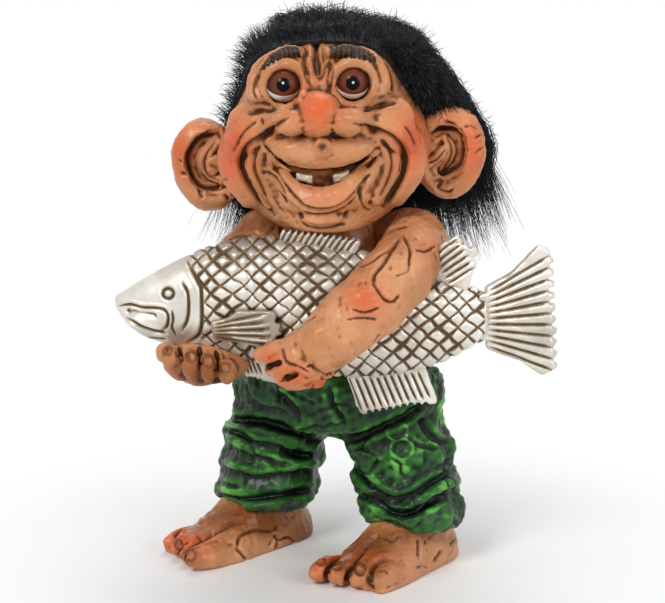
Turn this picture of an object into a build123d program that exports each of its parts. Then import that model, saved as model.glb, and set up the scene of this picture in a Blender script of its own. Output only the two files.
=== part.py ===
import os
from math import cos, pi, radians, sin

from build123d import *

# A standing folk troll that hugs a large fish: painted castings pinned together, with a fur wig.
# The figure faces -Y and stands on Z = 0. Right and left are the figure's own sides,
# so its right side lies towards -X.

# Driving dimensions, in millimetres and degrees

# Stance and feet
stance_width = 48.0  # from ankle to ankle, sideways
stance_stagger = 21.0  # how far the right foot stands behind the left
stance_middle = (1.3, 15.0)  # midway between the ankles
right_foot_heading = 223.0  # direction of the toes, from +X
left_foot_heading = 232.0
foot_length = 58.0
foot_width = 26.0
instep_height = 22.0
heel_to_ankle = 17.0
toe_count = 4
toe_height = 9.0

# Trousers
hem_height = 12.5
crotch_height = 41.0
waist_height = 63.0
leg_width = 32.5
leg_depth = 32.0
leg_spacing = 38.0  # between the tops of the legs
leg_overlap = 12.0  # how far the legs run up into the hips
hip_width = 72.0
hip_depth = 40.0
hip_turn = -25.0  # the hips are turned to the figure's right
fold_depth = 1.3  # how far the baggy folds stand out
fold_count = 4  # folds from hem to hip

# Torso
chest_offset = (-2.8, -4.1)  # from the middle of the stance
torso_width = 50.0
torso_depth = 40.0
torso_turn = -14.0
shoulder_height = 104.0
right_shoulder_inset = 3.0  # from the chest's side
right_shoulder_drop = 2.5
left_shoulder_lead = 6.0  # ahead of the chest's middle
left_shoulder_drop = 1.0
neck_offset = (-1.0, -2.5)  # from the middle of the chest
neck_height = 116.0
neck_width = 22.0

# Fish
fish_offset = (1.2, -30.0, -14.5)  # from the chest at shoulder height to the fish's middle
fish_yaw = -4.0  # the tail comes forward a little
fish_length = 134.0  # snout to tail edge
fish_back = 21.0  # back above the fish's own axis
fish_belly = 22.5  # belly below it
fish_thickness = 21.0
fish_mouth_length = 10.0
fish_mouth_gape = 2.4
fish_mouth_drop = 1.0  # below the fish's axis
tail_length = 20.2
tail_span = 40.0
tail_thickness = 4.2
fin_thickness = 3.0
fin_tab_depth = 3.0  # how deep each fin sits in its slot
dorsal_length = 23.0
dorsal_height = 3.0
adipose_length = 10.0
adipose_height = 11.5
anal_length = 23.0
anal_height = 11.0
pelvic_length = 11.0
pelvic_height = 6.0
pectoral_length = 20.0
pectoral_height = 11.5

# Arms and hands
upper_arm_radius = 10.6
forearm_radius = 9.6
wrist_radius = 8.6
palm_radius = 8.4
finger_radius = 3.2

# Head
head_rise = 22.0  # from the top of the neck to the head's centre
head_lead = 5.5  # how far the head's centre lies ahead of the neck
head_roll = -3.0  # about the figure's front axis, left ear up
head_turn = -3.4  # about the upright axis, the face a little to the figure's right
cheek_width = 63.0
forehead_width = 48.0
head_depth = 52.0
crown_height = 33.0  # above the head's centre
chin_drop = 25.0  # below the head's centre
nose_width = 14.0
nose_height = 11.7
nose_reach = 3.0  # from the face to the middle of the nose
nostril_width = 8.4
nostril_spacing = 14.6
nostril_drop = 3.4  # below the middle of the nose
cheek_apple_width = 17.0
cheek_apple_height = 14.0
cheek_apple_spacing = 39.0
cheek_apple_rise = 7.5  # above the head's centre
cheek_apple_setback = 9.0  # behind the face's front
brow_radius = 8.6  # of the fold that runs over and under each eye
brow_thickness = 5.2
brow_setback = 1.5  # behind the middle of the eye
brow_slope = 25.0  # the fold leans back with the forehead
upper_lip_thickness = 14.0
lower_lip_thickness = 12.0
lip_setback = 4.0  # behind the face's front
chin_width = 17.0
chin_thickness = 13.0
chin_setback = 8.0  # behind the face's front
mouth_width = 37.0
mouth_drop = 8.0  # from the mouth's corners down to the upper lip's middle
mouth_gape = 4.2
mouth_depth = 8.0
tooth_width = 5.0
tooth_length = 2.7
tooth_spacing = 11.0
tooth_thickness = 4.0

# Eyes and ears
eye_diameter = 10.0
eye_spacing = 20.6
eye_height = 19.5  # above the head's centre
eye_depth = 3.5  # from the face's front to the middle of the eye
lid_thickness = 1.7
ear_height = 29.0
ear_width = 22.0
ear_thickness = 11.0
ear_overhang = 17.0  # how far an ear stands out past the cheek
ear_setback = 3.0
ear_turn = 8.0  # the ears face a little outwards
right_ear_drop = 8.5  # below the head's centre
left_ear_drop = 7.5
ear_bowl_depth = 5.0
ear_bowl_shift = 1.5  # the bowl lies nearer to the head
ear_rim = 3.6
ear_peg_diameter = 6.0
ear_peg_length = 10.0

# Wig
wig_cap_thickness = 1.2
wig_cap_drop = 13.0  # the cap's lower edge, below the head's centre
ear_gap = 0.3  # between the ears and the wig
hair_crown = 5.5  # hair above the crown
hair_side = 9.5  # hair outside the temples and the back of the head
hair_spread = 11.0  # how far the locks fan out past the cheeks
hair_drop = 36.0  # lowest locks, below the head's centre
hair_lean = 6.0  # how far the lowest locks hang to the figure's left
hair_sweep = 17.0  # how far they hang to the back
hairline_lead = 12.0  # the hairline ahead of the head's centre, over the brow
hairline_setback = 10.0  # the hairline behind the head's centre, at the ears

# Pins and dowels
ankle_pin_diameter = 4.0
ankle_pin_length = 26.0
waist_dowel_diameter = 10.0
waist_dowel_length = 30.0
neck_dowel_diameter = 8.0
neck_dowel_length = 28.0
shoulder_pin_diameter = 4.0
shoulder_pin_length = 20.0
fish_pin_diameter = 3.0
fish_pin_length = 16.0
fish_pin_spacing = 16.0
pin_clearance = 0.05
glue_gap = 0.1  # around the eyes

# Frames that the sub-parts are built on


def ground_frame(spot, heading):
    """A plane on the floor whose x axis points along the heading."""
    toes = (cos(radians(heading)), sin(radians(heading)), 0)
    return Plane(origin=(spot[0], spot[1], 0), x_dir=toes, z_dir=(0, 0, 1))


def level_plane(spot, z, turn=0.0):
    """A level plane at a height, turned about Z."""
    return ground_frame(spot, turn).offset(z)


def seat(frame, x, y, z, turn=(0, 0, 0)):
    """A plane at a point of a frame, turned about that frame's axes."""
    return Plane(frame.location * Location((x, y, z), turn))


def shifted(spot, offset):
    return spot[0] + offset[0], spot[1] + offset[1]


right_ankle = shifted(stance_middle, (-stance_width / 2, stance_stagger / 2))
left_ankle = shifted(stance_middle, (stance_width / 2, -stance_stagger / 2))
right_foot_frame = ground_frame(right_ankle, right_foot_heading)
left_foot_frame = ground_frame(left_ankle, left_foot_heading)
hip_spot = stance_middle
chest_spot = shifted(stance_middle, chest_offset)
neck_spot = shifted(chest_spot, neck_offset)
head_centre = (neck_spot[0], neck_spot[1] - head_lead, neck_height + head_rise)
head_frame = Plane(Location(head_centre, (0, head_roll, head_turn)))
fish_centre = shifted(chest_spot, fish_offset) + (shoulder_height + fish_offset[2],)
fish_frame = Plane(Location(fish_centre, (0, 0, fish_yaw)))


def by_fish(along, out, up):
    """A point beside the fish: out is measured from its thickest near flank."""
    return seat(fish_frame, along, -fish_thickness / 2 - out, up).origin


# Shapes that repeat


def loft_ellipses(rings, ruled=False):
    """Lofts through (plane, half width, half depth) rings."""
    sections = []
    for plane, half_width, half_depth in rings:
        with BuildSketch(plane) as ring:
            Ellipse(half_width, half_depth)
        sections.append(ring.sketch)
    loft(sections, ruled=ruled)


def add_spheroid(plane, half_length, radius, mode=Mode.ADD):
    """A rounded body of revolution, long along the plane's x axis."""
    below = (Align.CENTER, Align.MAX)
    with BuildSketch(plane) as profile:
        Ellipse(half_length, radius)
        Rectangle(2 * half_length, 2 * radius, align=below, mode=Mode.SUBTRACT)
    revolve(profile.sketch, axis=Axis(plane.origin, plane.x_dir), mode=mode)


def rings_along(points, radii):
    """Round rings square to a limb's path, none turned against the next."""
    path = [Vector(p) for p in points]
    side = (path[1] - path[0]).cross(Vector(0, 0, 1))
    rings = []
    for i, (point, radius) in enumerate(zip(path, radii)):
        ahead = path[min(i + 1, len(path) - 1)]
        behind = path[max(i - 1, 0)]
        along = (ahead - behind).normalized()
        side = (side - along * side.dot(along)).normalized()
        rings.append((Plane(origin=point, x_dir=side, z_dir=along), radius, radius))
    return rings


def cut_away(*neighbours):
    """Takes the neighbours' solids out of the piece being built."""
    add(neighbours, mode=Mode.SUBTRACT)


def pin(run, diameter):
    """A straight round pin between the two ends of its run."""
    start, end = Vector(run[0]), Vector(run[1])
    with BuildPart() as made:
        with BuildSketch(Plane(origin=start, z_dir=end - start)):
            Circle(diameter / 2)
        extrude(amount=(end - start).length)
    return made.part


def drill(run, diameter):
    """The hole for a pin, inside the piece being built."""
    start, end = Vector(run[0]), Vector(run[1])
    with BuildSketch(Plane(origin=start, z_dir=end - start)) as hole:
        Circle(diameter / 2 + pin_clearance)
    extrude(hole.sketch, amount=(end - start).length, mode=Mode.SUBTRACT)


# Where the pins run


def upright(spot, middle, length):
    """A run straight up through a spot, half of it below the middle height."""
    return (*spot, middle - length / 2), (*spot, middle + length / 2)


def run_through(middle, direction, length):
    """A run of a given length, centred on a point."""
    half = Vector(direction).normalized() * (length / 2)
    return Vector(middle) - half, Vector(middle) + half


right_ankle_run = upright(right_ankle, (hem_height + instep_height) / 2, ankle_pin_length)
left_ankle_run = upright(left_ankle, (hem_height + instep_height) / 2, ankle_pin_length)
waist_run = upright(hip_spot, waist_height, waist_dowel_length)
neck_run = upright(neck_spot, neck_height, neck_dowel_length)
half_torso = torso_width / 2
right_shoulder_spot = shifted(chest_spot, (right_shoulder_inset - half_torso, 0))
left_shoulder_spot = shifted(chest_spot, (half_torso, -left_shoulder_lead))
right_shoulder = (*right_shoulder_spot, shoulder_height - right_shoulder_drop)
left_shoulder = (*left_shoulder_spot, shoulder_height - left_shoulder_drop)
right_shoulder_run = run_through(right_shoulder, (-1, -0.1, 0.05), shoulder_pin_length)
left_shoulder_run = run_through(left_shoulder, (1, -0.35, 0.08), shoulder_pin_length)
torso_front = chest_spot[1] - torso_depth / 2
fish_pin_runs = []
for side in (-1, 1):
    fish_pin_spot = (chest_spot[0] + side * fish_pin_spacing / 2, torso_front, fish_centre[2])
    fish_pin_runs.append(run_through(fish_pin_spot, (0, 1, 0), fish_pin_length))

# Fish body: a loft of upright ellipses from snout to tail root.
# Each station is (share of the body, back, belly, thickness), as shares of the fish's sizes.
fish_stations = [
    (0.005, 0.10, -0.06, 0.16),
    (0.059, 0.28, -0.40, 0.42),
    (0.147, 0.56, -0.57, 0.68),
    (0.242, 0.81, -0.66, 0.84),
    (0.348, 0.98, -0.78, 0.95),
    (0.454, 1.00, -0.87, 1.00),
    (0.590, 0.90, -0.97, 1.00),
    (0.684, 0.79, -1.00, 0.95),
    (0.772, 0.63, -0.94, 0.86),
    (0.861, 0.48, -0.80, 0.70),
    (0.943, 0.34, -0.58, 0.50),
    (1.000, 0.27, -0.47, 0.38),
]
body_length = fish_length - tail_length
snout = -fish_length / 2
tail_root = snout + body_length


def fish_outline(along):
    """The back and belly heights of the fish at a place along it."""
    share = (along - snout) / body_length
    for near, far in zip(fish_stations, fish_stations[1:]):
        if share <= far[0]:
            break
    mix = (share - near[0]) / (far[0] - near[0])
    back = near[1] + mix * (far[1] - near[1])
    belly = near[2] + mix * (far[2] - near[2])
    return back * fish_back, belly * fish_belly


def fin_plate(outline, thickness, sideways=0.0):
    """A flat fin in the fish's upright middle plane, or beside it."""
    with BuildPart() as made:
        with BuildSketch(seat(fish_frame, 0, sideways, 0, (90, 0, 0))):
            with BuildLine():
                Polyline(*outline, close=True)
            make_face()
            fillet(vertices(), radius=thickness / 3)
        extrude(amount=thickness / 2, both=True)
    return made.part


def fin_on_edge(front, length, height, rake, sense):
    """The outline of a fin that stands on the fish's back (sense 1) or hangs from its belly (-1).

    The rake is how far the fin leans back, as a share of its length.
    """
    edge = 0 if sense > 0 else 1
    rear = front + length
    front_edge = fish_outline(front)[edge]
    rear_edge = fish_outline(rear)[edge]
    return [
        (front, front_edge - sense * fin_tab_depth),
        (front + 0.6 * rake * length, front_edge + sense * height * 0.9),
        (rear + rake * length, rear_edge + sense * height),
        (rear, rear_edge - sense * fin_tab_depth),
    ]


root_back, root_belly = fish_outline(tail_root)
tail_end = fish_length / 2
tail_middle = (root_back + root_belly) / 2 + 0.05 * tail_span
tail_outline = [
    (tail_root - fin_tab_depth, 0.82 * root_back),
    (tail_root + 0.07 * tail_length, 0.91 * root_back),
    (tail_end - 0.27 * tail_length, tail_middle + 0.51 * tail_span),
    (tail_end - 0.10 * tail_length, tail_middle + 0.475 * tail_span),
    (tail_end - 0.04 * tail_length, tail_middle),
    (tail_end, tail_middle - 0.45 * tail_span),
    (tail_end - 0.17 * tail_length, tail_middle - 0.50 * tail_span),
    (tail_root + 0.07 * tail_length, 0.95 * root_belly),
    (tail_root - fin_tab_depth, 0.90 * root_belly),
]
pectoral_root = snout + 0.29 * body_length
pectoral_level = -0.18 * fish_belly
pectoral_outline = [
    (pectoral_root, pectoral_level),
    (pectoral_root + pectoral_length * 0.3, pectoral_level + pectoral_height * 0.42),
    (pectoral_root + pectoral_length * 0.85, pectoral_level + pectoral_height * 0.42),
    (pectoral_root + pectoral_length, pectoral_level - pectoral_height * 0.15),
    (pectoral_root + pectoral_length * 0.8, pectoral_level - pectoral_height * 0.58),
    (pectoral_root + pectoral_length * 0.3, pectoral_level - pectoral_height * 0.45),
]
dorsal_outline = fin_on_edge(snout + 0.44 * body_length, dorsal_length, dorsal_height, 0.13, 1)
adipose_outline = fin_on_edge(snout + 0.855 * body_length, adipose_length, adipose_height, 0.35, 1)
anal_outline = fin_on_edge(snout + 0.625 * body_length, anal_length, anal_height, 0.22, -1)
pelvic_outline = fin_on_edge(snout + 0.336 * body_length, pelvic_length, pelvic_height, 0.27, -1)
fish_fins = {
    "fish_tail_fin": fin_plate(tail_outline, tail_thickness),
    "fish_dorsal_fin": fin_plate(dorsal_outline, fin_thickness),
    "fish_adipose_fin": fin_plate(adipose_outline, fin_thickness),
    "fish_anal_fin": fin_plate(anal_outline, fin_thickness),
    "fish_pelvic_fin": fin_plate(pelvic_outline, fin_thickness),
    "fish_pectoral_fin": fin_plate(pectoral_outline, fin_thickness, -fish_thickness / 2),
}

with BuildPart() as fish_form:
    for share, back, belly, thick in fish_stations:
        top, bottom = back * fish_back, belly * fish_belly
        middle = seat(fish_frame, snout + share * body_length, 0, (top + bottom) / 2).origin
        with BuildSketch(Plane(middle, x_dir=fish_frame.y_dir, z_dir=fish_frame.x_dir)):
            Ellipse(thick * fish_thickness / 2, (top - bottom) / 2)
    loft()

with BuildPart() as fish_body:
    add(fish_form.part)
    # the open mouth, a slot behind the snout
    mouth_front = snout + 0.035 * body_length
    with BuildSketch(seat(fish_frame, 0, 0, -fish_mouth_drop, (90, 0, 0))):
        with BuildLine():
            Polyline(
                (mouth_front, 0),
                (mouth_front + fish_mouth_length, -0.4 * fish_mouth_gape),
                (mouth_front + fish_mouth_length, -fish_mouth_gape),
                (mouth_front + 0.15 * fish_mouth_length, -1.1 * fish_mouth_gape),
                close=True,
            )
        make_face()
    extrude(amount=fish_thickness, both=True, mode=Mode.SUBTRACT)
    cut_away(*fish_fins.values())
    for run in fish_pin_runs:
        drill(run, fish_pin_diameter)

# Feet: a lofted sole and instep with a row of stubby toes
half_foot = foot_width / 2
toe_reach = foot_length - heel_to_ankle


def foot_form(frame):
    """The foot without its toes."""
    sections = [  # (along the foot, half width, half height)
        (-heel_to_ankle, 0.28 * half_foot, 0.14 * instep_height),
        (-0.86 * heel_to_ankle, 0.58 * half_foot, 0.46 * instep_height),
        (-0.5 * heel_to_ankle, 0.80 * half_foot, 0.78 * instep_height),
        (0.1 * heel_to_ankle, 0.88 * half_foot, instep_height),
        (0.36 * toe_reach, 0.96 * half_foot, 0.74 * instep_height),
        (0.62 * toe_reach, half_foot, toe_height),
        (0.80 * toe_reach, 0.94 * half_foot, 0.85 * toe_height),
    ]
    with BuildPart() as made:
        for along, half_width, half_height in sections:
            spot = seat(frame, along, 0, 0).origin
            with BuildSketch(Plane(spot, x_dir=frame.y_dir, z_dir=frame.x_dir)):
                Ellipse(half_width, half_height)
        loft()
    return made.part


def foot(form, frame, inner_side, ankle_run):
    """One bare foot on its frame; inner_side is the sign of the big toe's side."""
    toe_pitch = foot_width / toe_count
    toe_half_length = 0.16 * foot_length
    with BuildPart() as made:
        add(form)
        for i in range(toe_count):
            side = inner_side * (half_foot - toe_pitch * (i + 0.5))
            lead = 1.0 - 0.05 * i  # each toe stops a little shorter than the one inside it
            toe = seat(frame, lead * toe_reach - toe_half_length, side, 0.42 * toe_height)
            add_spheroid(toe, toe_half_length, 0.56 * toe_pitch)
        split(bisect_by=Plane.XY, keep=Keep.TOP)
        drill(ankle_run, ankle_pin_diameter)
    return made.part


right_foot_form = foot_form(right_foot_frame)
left_foot_form = foot_form(left_foot_frame)
right_foot = foot(right_foot_form, right_foot_frame, 1, right_ankle_run)
left_foot = foot(left_foot_form, left_foot_frame, -1, left_ankle_run)

# Trousers: two baggy legs lofted through their folds, and a hip block above them


def leg_rings(ankle, side):
    """Rings from the hem to the hip, in and out over the folds; the top draws in inside the hips."""
    turn = radians(hip_turn)
    reach = side * leg_spacing / 2
    hip = shifted(hip_spot, (reach * cos(turn), reach * sin(turn)))
    seam = hip_turn if side < 0 else hip_turn + 180  # on the inside of each leg
    top = crotch_height + leg_overlap
    steps = 4 * fold_count
    rings = []
    for i in range(steps + 1):
        mix = i / steps
        x = ankle[0] + mix * (hip[0] - ankle[0])
        y = ankle[1] + mix * (hip[1] - ankle[1])
        z = hem_height + mix * (top - hem_height)
        bulge = -fold_depth * cos(2 * pi * i / 4)
        draw_in = 1.0 - 1.2 * max(0.0, mix - 0.75)
        half_width = draw_in * leg_width / 2 + bulge
        half_depth = draw_in * leg_depth / 2 + bulge
        rings.append((level_plane((x, y), z, seam), half_width, half_depth))
    return rings


def hip_ring(z, width_share, depth_share):
    plane = level_plane(hip_spot, z, hip_turn)
    return plane, width_share * hip_width / 2, depth_share * hip_depth / 2


with BuildPart() as trousers:
    hip_rise = waist_height - crotch_height
    hip_rings = [
        hip_ring(crotch_height - 1.0, 0.50, 0.40),
        hip_ring(crotch_height + 0.07 * hip_rise, 0.68, 0.66),
        hip_ring(crotch_height + 0.20 * hip_rise, 0.84, 0.85),
        hip_ring(crotch_height + 0.36 * hip_rise, 0.95, 0.95),
        hip_ring(crotch_height + 0.54 * hip_rise, 1.00, 1.00),
        hip_ring(crotch_height + 0.80 * hip_rise, 0.99, 1.00),
        hip_ring(waist_height, 0.93, 0.96),
    ]
    loft_ellipses(hip_rings, ruled=True)
    loft_ellipses(leg_rings(right_ankle, -1), ruled=True)
    loft_ellipses(leg_rings(left_ankle, 1), ruled=True)
    cut_away(right_foot_form, left_foot_form, fish_form.part, fish_fins["fish_anal_fin"])
    drill(right_ankle_run, ankle_pin_diameter)
    drill(left_ankle_run, ankle_pin_diameter)
    drill(waist_run, waist_dowel_diameter)

# Torso: a barrel chest that narrows to the neck


def torso_ring(rise, width_share, depth_share):
    """A ring at a share of the way from the waist to the shoulders."""
    z = waist_height + rise * (shoulder_height - waist_height)
    x = hip_spot[0] + rise * (chest_spot[0] - hip_spot[0])
    y = hip_spot[1] + rise * (chest_spot[1] - hip_spot[1])
    plane = level_plane((x, y), z, torso_turn)
    return plane, width_share * torso_width / 2, depth_share * torso_depth / 2


def neck_ring(drop, width_share):
    plane = level_plane(neck_spot, neck_height - drop, torso_turn)
    return plane, width_share * neck_width / 2, width_share * neck_width / 2


with BuildPart() as torso_form:
    torso_rings = [
        torso_ring(0.0, 0.98, 0.92),
        torso_ring(0.3, 1.0, 1.0),
        torso_ring(0.6, 1.0, 0.98),
        torso_ring(0.85, 0.97, 0.90),
        torso_ring(1.0, 0.86, 0.78),
        neck_ring(0.5 * (neck_height - shoulder_height), 1.3),
        neck_ring(0.0, 1.0),
    ]
    loft_ellipses(torso_rings)

with BuildPart() as torso:
    add(torso_form.part)
    cut_away(fish_form.part, fish_fins["fish_dorsal_fin"])
    drill(waist_run, waist_dowel_diameter)
    drill(neck_run, neck_dowel_diameter)
    drill(right_shoulder_run, shoulder_pin_diameter)
    drill(left_shoulder_run, shoulder_pin_diameter)
    for run in fish_pin_runs:
        drill(run, fish_pin_diameter)

# Head: a lofted skull with a bulbous nose, a muzzle, lids round the eyes and a wide grin.
# Each section is (height, half width, half depth, lead ahead of the head's centre).
half_cheek = cheek_width / 2
half_brow = forehead_width / 2
half_head = head_depth / 2
head_sections = [
    (-chin_drop, 0.36 * half_cheek, 0.28 * half_head, 0.42 * half_head),
    (-0.84 * chin_drop, 0.68 * half_cheek, 0.60 * half_head, 0.31 * half_head),
    (-0.52 * chin_drop, 0.91 * half_cheek, 0.86 * half_head, 0.15 * half_head),
    (-0.14 * chin_drop, half_cheek, half_head, 0.06 * half_head),
    (0.20 * crown_height, 0.92 * half_cheek, 1.02 * half_head, 0.02 * half_head),
    (0.42 * crown_height, 1.04 * half_brow, 0.98 * half_head, 0.0),
    (0.66 * crown_height, 0.94 * half_brow, 0.88 * half_head, -0.04 * half_head),
    (0.88 * crown_height, 0.68 * half_brow, 0.62 * half_head, -0.08 * half_head),
    (crown_height, 0.30 * half_brow, 0.28 * half_head, -0.10 * half_head),
]


def head_rings(sections, out=0.0):
    """The head's sections as rings, or a skin that stands out from them."""
    rings = []
    for height, half_width, half_depth, lead in sections:
        lift = out * max(0.0, height / crown_height)
        plane = seat(head_frame, 0, -lead, height + lift)
        rings.append((plane, half_width + out, half_depth + out))
    return rings


def on_face(x, behind, z, turn=(0, 0, 0)):
    """A plane on the head, a distance behind the face's front."""
    return seat(head_frame, x, behind - half_head, z, turn)


def mouth_shape():
    """The grin: a crescent whose corners lie level with the head's centre."""
    left = (-mouth_width / 2, 0)
    right = (mouth_width / 2, 0)
    with BuildLine() as lips:
        ThreePointArc(left, (0, -mouth_drop), right)
        ThreePointArc(right, (0, -mouth_drop - mouth_gape), left)
    make_face(lips.edges())


face_front = 1.06 * half_head
mouth_back = seat(head_frame, 0, -face_front + mouth_depth, 0, (90, 0, 0))
eye_planes = []
for side in (-1, 1):
    eye_planes.append(on_face(side * eye_spacing / 2, eye_depth, eye_height))
ear_runs = []
ear_places = [(-1, right_ear_drop), (1, left_ear_drop)]
for side, drop in ear_places:
    peg_root = seat(head_frame, side * half_cheek, ear_setback, -drop).origin
    ear_runs.append(run_through(peg_root, head_frame.x_dir * side, ear_peg_length))

with BuildPart() as head_form:
    loft_ellipses(head_rings(head_sections))

with BuildPart() as head:
    add(head_form.part)
    with Locations(on_face(0, -nose_reach, nose_height).location):
        Sphere(nose_width / 2)
    for side in (-1, 1):
        nostril = on_face(side * nostril_spacing / 2, 0, nose_height - nostril_drop)
        with Locations(nostril.location):
            Sphere(nostril_width / 2)
        apple = on_face(side * cheek_apple_spacing / 2, cheek_apple_setback, cheek_apple_rise)
        add_spheroid(apple, cheek_apple_width / 2, cheek_apple_height / 2)
    upper_lip = on_face(0, lip_setback, 0.16 * mouth_drop)
    add_spheroid(upper_lip, 0.5 * mouth_width, upper_lip_thickness / 2)
    lower_lip = on_face(0, 1.25 * lip_setback, -mouth_drop - mouth_gape - 0.21 * lower_lip_thickness)
    add_spheroid(lower_lip, 0.4 * mouth_width, lower_lip_thickness / 2)
    chin = on_face(0, chin_setback, 0.46 * chin_thickness - chin_drop)
    add_spheroid(chin, chin_width / 2, chin_thickness / 2)
    for plane in eye_planes:
        with Locations(seat(plane, 0, 0, 0, (90, 0, 0)).location):
            Torus(eye_diameter / 2, lid_thickness)
        with Locations(seat(plane, 0, brow_setback, 0, (90 - brow_slope, 0, 0)).location):
            Torus(brow_radius, brow_thickness / 2)
    with BuildSketch(mouth_back) as mouth_hole:
        mouth_shape()
    extrude(mouth_hole.sketch, amount=2 * mouth_depth, mode=Mode.SUBTRACT)
    socket_radius = eye_diameter / 2 + glue_gap
    for plane in eye_planes:
        with Locations(seat(plane, 0, 0, 0, (0, 90, 0)).location):
            Sphere(socket_radius, mode=Mode.SUBTRACT)
    cut_away(torso_form.part, fish_form.part, fish_fins["fish_dorsal_fin"])
    drill(neck_run, neck_dowel_diameter)
    for run in ear_runs:
        drill(run, ear_peg_diameter)


def eye(plane):
    with BuildPart() as made:
        with Locations(plane.location):
            Sphere(eye_diameter / 2)
    return made.part


right_eye, left_eye = [eye(plane) for plane in eye_planes]

# Teeth: two short blocks that hang from the upper lip, either side of a gap
with BuildPart() as teeth:
    with BuildSketch(mouth_back) as tooth_row:
        mouth_shape()
        with BuildSketch(mode=Mode.PRIVATE) as lifted:
            with Locations((0, mouth_gape - tooth_length)):
                add(tooth_row.sketch_local)
        with BuildSketch(mode=Mode.PRIVATE) as blocks:
            with Locations((-tooth_spacing / 2, -mouth_drop), (tooth_spacing / 2, -mouth_drop)):
                Rectangle(tooth_width, 3 * mouth_gape)
        add(lifted.sketch_local, mode=Mode.INTERSECT)
        add(blocks.sketch_local, mode=Mode.INTERSECT)
    extrude(amount=tooth_thickness)

# Ears: rounded plates with a scooped bowl, pegged into the sides of the head


def ear_plane(side, drop):
    """An ear's own plane, facing the front and turned a little outwards."""
    middle = half_cheek + ear_overhang - ear_width / 2
    return seat(head_frame, side * middle, ear_setback, -drop, (90, 0, -ear_turn * side))


def ear_plate(plane, room=0.0):
    """The ear's outline as a plate, with room around it where a neighbour makes way."""
    with BuildPart() as made:
        with BuildSketch(plane):
            Ellipse(ear_width / 2 + room, ear_height / 2 + room)
        extrude(amount=ear_thickness / 2 + room, both=True)
    return made.part


def ear(plane, side, run):
    """One ear with its peg."""
    with BuildPart() as made:
        add(ear_plate(plane))
        fillet(edges().filter_by(GeomType.ELLIPSE), radius=0.42 * ear_thickness)
        bowl_radius = ear_width / 2 - ear_rim
        bowl_front = ear_thickness / 2 + bowl_radius - ear_bowl_depth
        bowl = seat(plane, -side * ear_bowl_shift, 0, bowl_front, (0, 0, 90))
        add_spheroid(bowl, ear_height / 2 - ear_rim, bowl_radius, Mode.SUBTRACT)
        cut_away(head_form.part)
        add(pin(run, ear_peg_diameter))
    return made.part


ear_planes = [ear_plane(*place) for place in ear_places]
right_ear = ear(ear_planes[0], -1, ear_runs[0])
left_ear = ear(ear_planes[1], 1, ear_runs[1])


def add_finger(root, tip):
    """A stubby finger between two points."""
    along = tip - root
    frame = Plane(origin=(root + tip) * 0.5, x_dir=along, z_dir=along.cross(Vector(0, 1, 0.2)))
    add_spheroid(frame, along.length / 2 + 0.8 * finger_radius, finger_radius)


# Left arm: over the fish's back and down its near flank, the hand spread under the belly.
# The points beside the fish are (along it, out from its flank, above its axis).
left_arm_path = [
    (left_shoulder[0] - 11.0, left_shoulder[1] + 3.0, left_shoulder[2] - 1.5),
    (left_shoulder[0] - 0.5, left_shoulder[1] - 3.5, left_shoulder[2] + 1.5),
    by_fish(23.0, -13.0, 14.0),
    by_fish(14.0, 1.5, 6.0),
    by_fish(2.5, 5.0, -4.0),
    by_fish(-5.0, 5.0, -10.5),
]
left_arm_radii = [
    0.86 * upper_arm_radius,
    upper_arm_radius,
    upper_arm_radius,
    upper_arm_radius,
    forearm_radius,
    wrist_radius,
]
left_palm = Plane(origin=by_fish(-8.0, 4.5, -12.5), x_dir=(-0.7, 0.1, -0.7), z_dir=(0, 1, 0.14))
left_fingers = [
    (by_fish(-12.5, 5.5, -9.0), by_fish(-21.5, 3.5, -12.0)),
    (by_fish(-10.5, 6.0, -12.5), by_fish(-17.5, 3.0, -16.5)),
    (by_fish(-7.5, 6.0, -14.0), by_fish(-11.0, 2.0, -19.5)),
    (by_fish(-3.5, 6.0, -14.5), by_fish(-3.5, 2.0, -20.5)),
]

with BuildPart() as left_arm:
    loft_ellipses(rings_along(left_arm_path, left_arm_radii))
    add_spheroid(left_palm, 1.35 * palm_radius, palm_radius)
    for root, tip in left_fingers:
        add_finger(root, tip)
    near_fins = [fish_fins[f"fish_{name}_fin"] for name in ("adipose", "pectoral", "pelvic")]
    cut_away(torso_form.part, fish_form.part, *near_fins)
    drill(left_shoulder_run, shoulder_pin_diameter)

# Right arm: down behind the fish, the hand under its throat with the fingers curled up in front
right_arm_path = [
    (right_shoulder[0] + 13.0, right_shoulder[1], right_shoulder[2] - 1.5),
    (right_shoulder[0] + 1.5, right_shoulder[1] - 1.5, right_shoulder[2] + 1.0),
    by_fish(-29.5, -32.0, 4.0),
    by_fish(-33.5, -27.0, -7.0),
    by_fish(-36.0, -17.5, -13.5),
    by_fish(-37.0, -10.0, -16.5),
]
right_arm_radii = [
    0.86 * upper_arm_radius,
    upper_arm_radius,
    0.95 * upper_arm_radius,
    forearm_radius,
    forearm_radius,
    wrist_radius,
]
right_palm = Plane(origin=by_fish(-38.5, -8.0, -17.5), x_dir=(1, 0.05, -0.2), z_dir=(0, 0, 1))
right_fingers = [
    (by_fish(-48.0, -5.0, -16.0), by_fish(-50.0, 0.5, -12.0)),
    (by_fish(-42.5, -4.0, -18.5), by_fish(-43.5, 2.5, -13.5)),
    (by_fish(-37.0, -4.0, -20.0), by_fish(-37.5, 3.0, -15.0)),
    (by_fish(-31.0, -4.0, -20.5), by_fish(-31.5, 2.5, -16.5)),
]

with BuildPart() as right_arm:
    loft_ellipses(rings_along(right_arm_path, right_arm_radii))
    add_spheroid(right_palm, 1.6 * palm_radius, 0.9 * palm_radius)
    for root, tip in right_fingers:
        add_finger(root, tip)
    cut_away(torso_form.part, fish_form.part, fish_fins["fish_pelvic_fin"])
    drill(right_shoulder_run, shoulder_pin_diameter)

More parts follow.
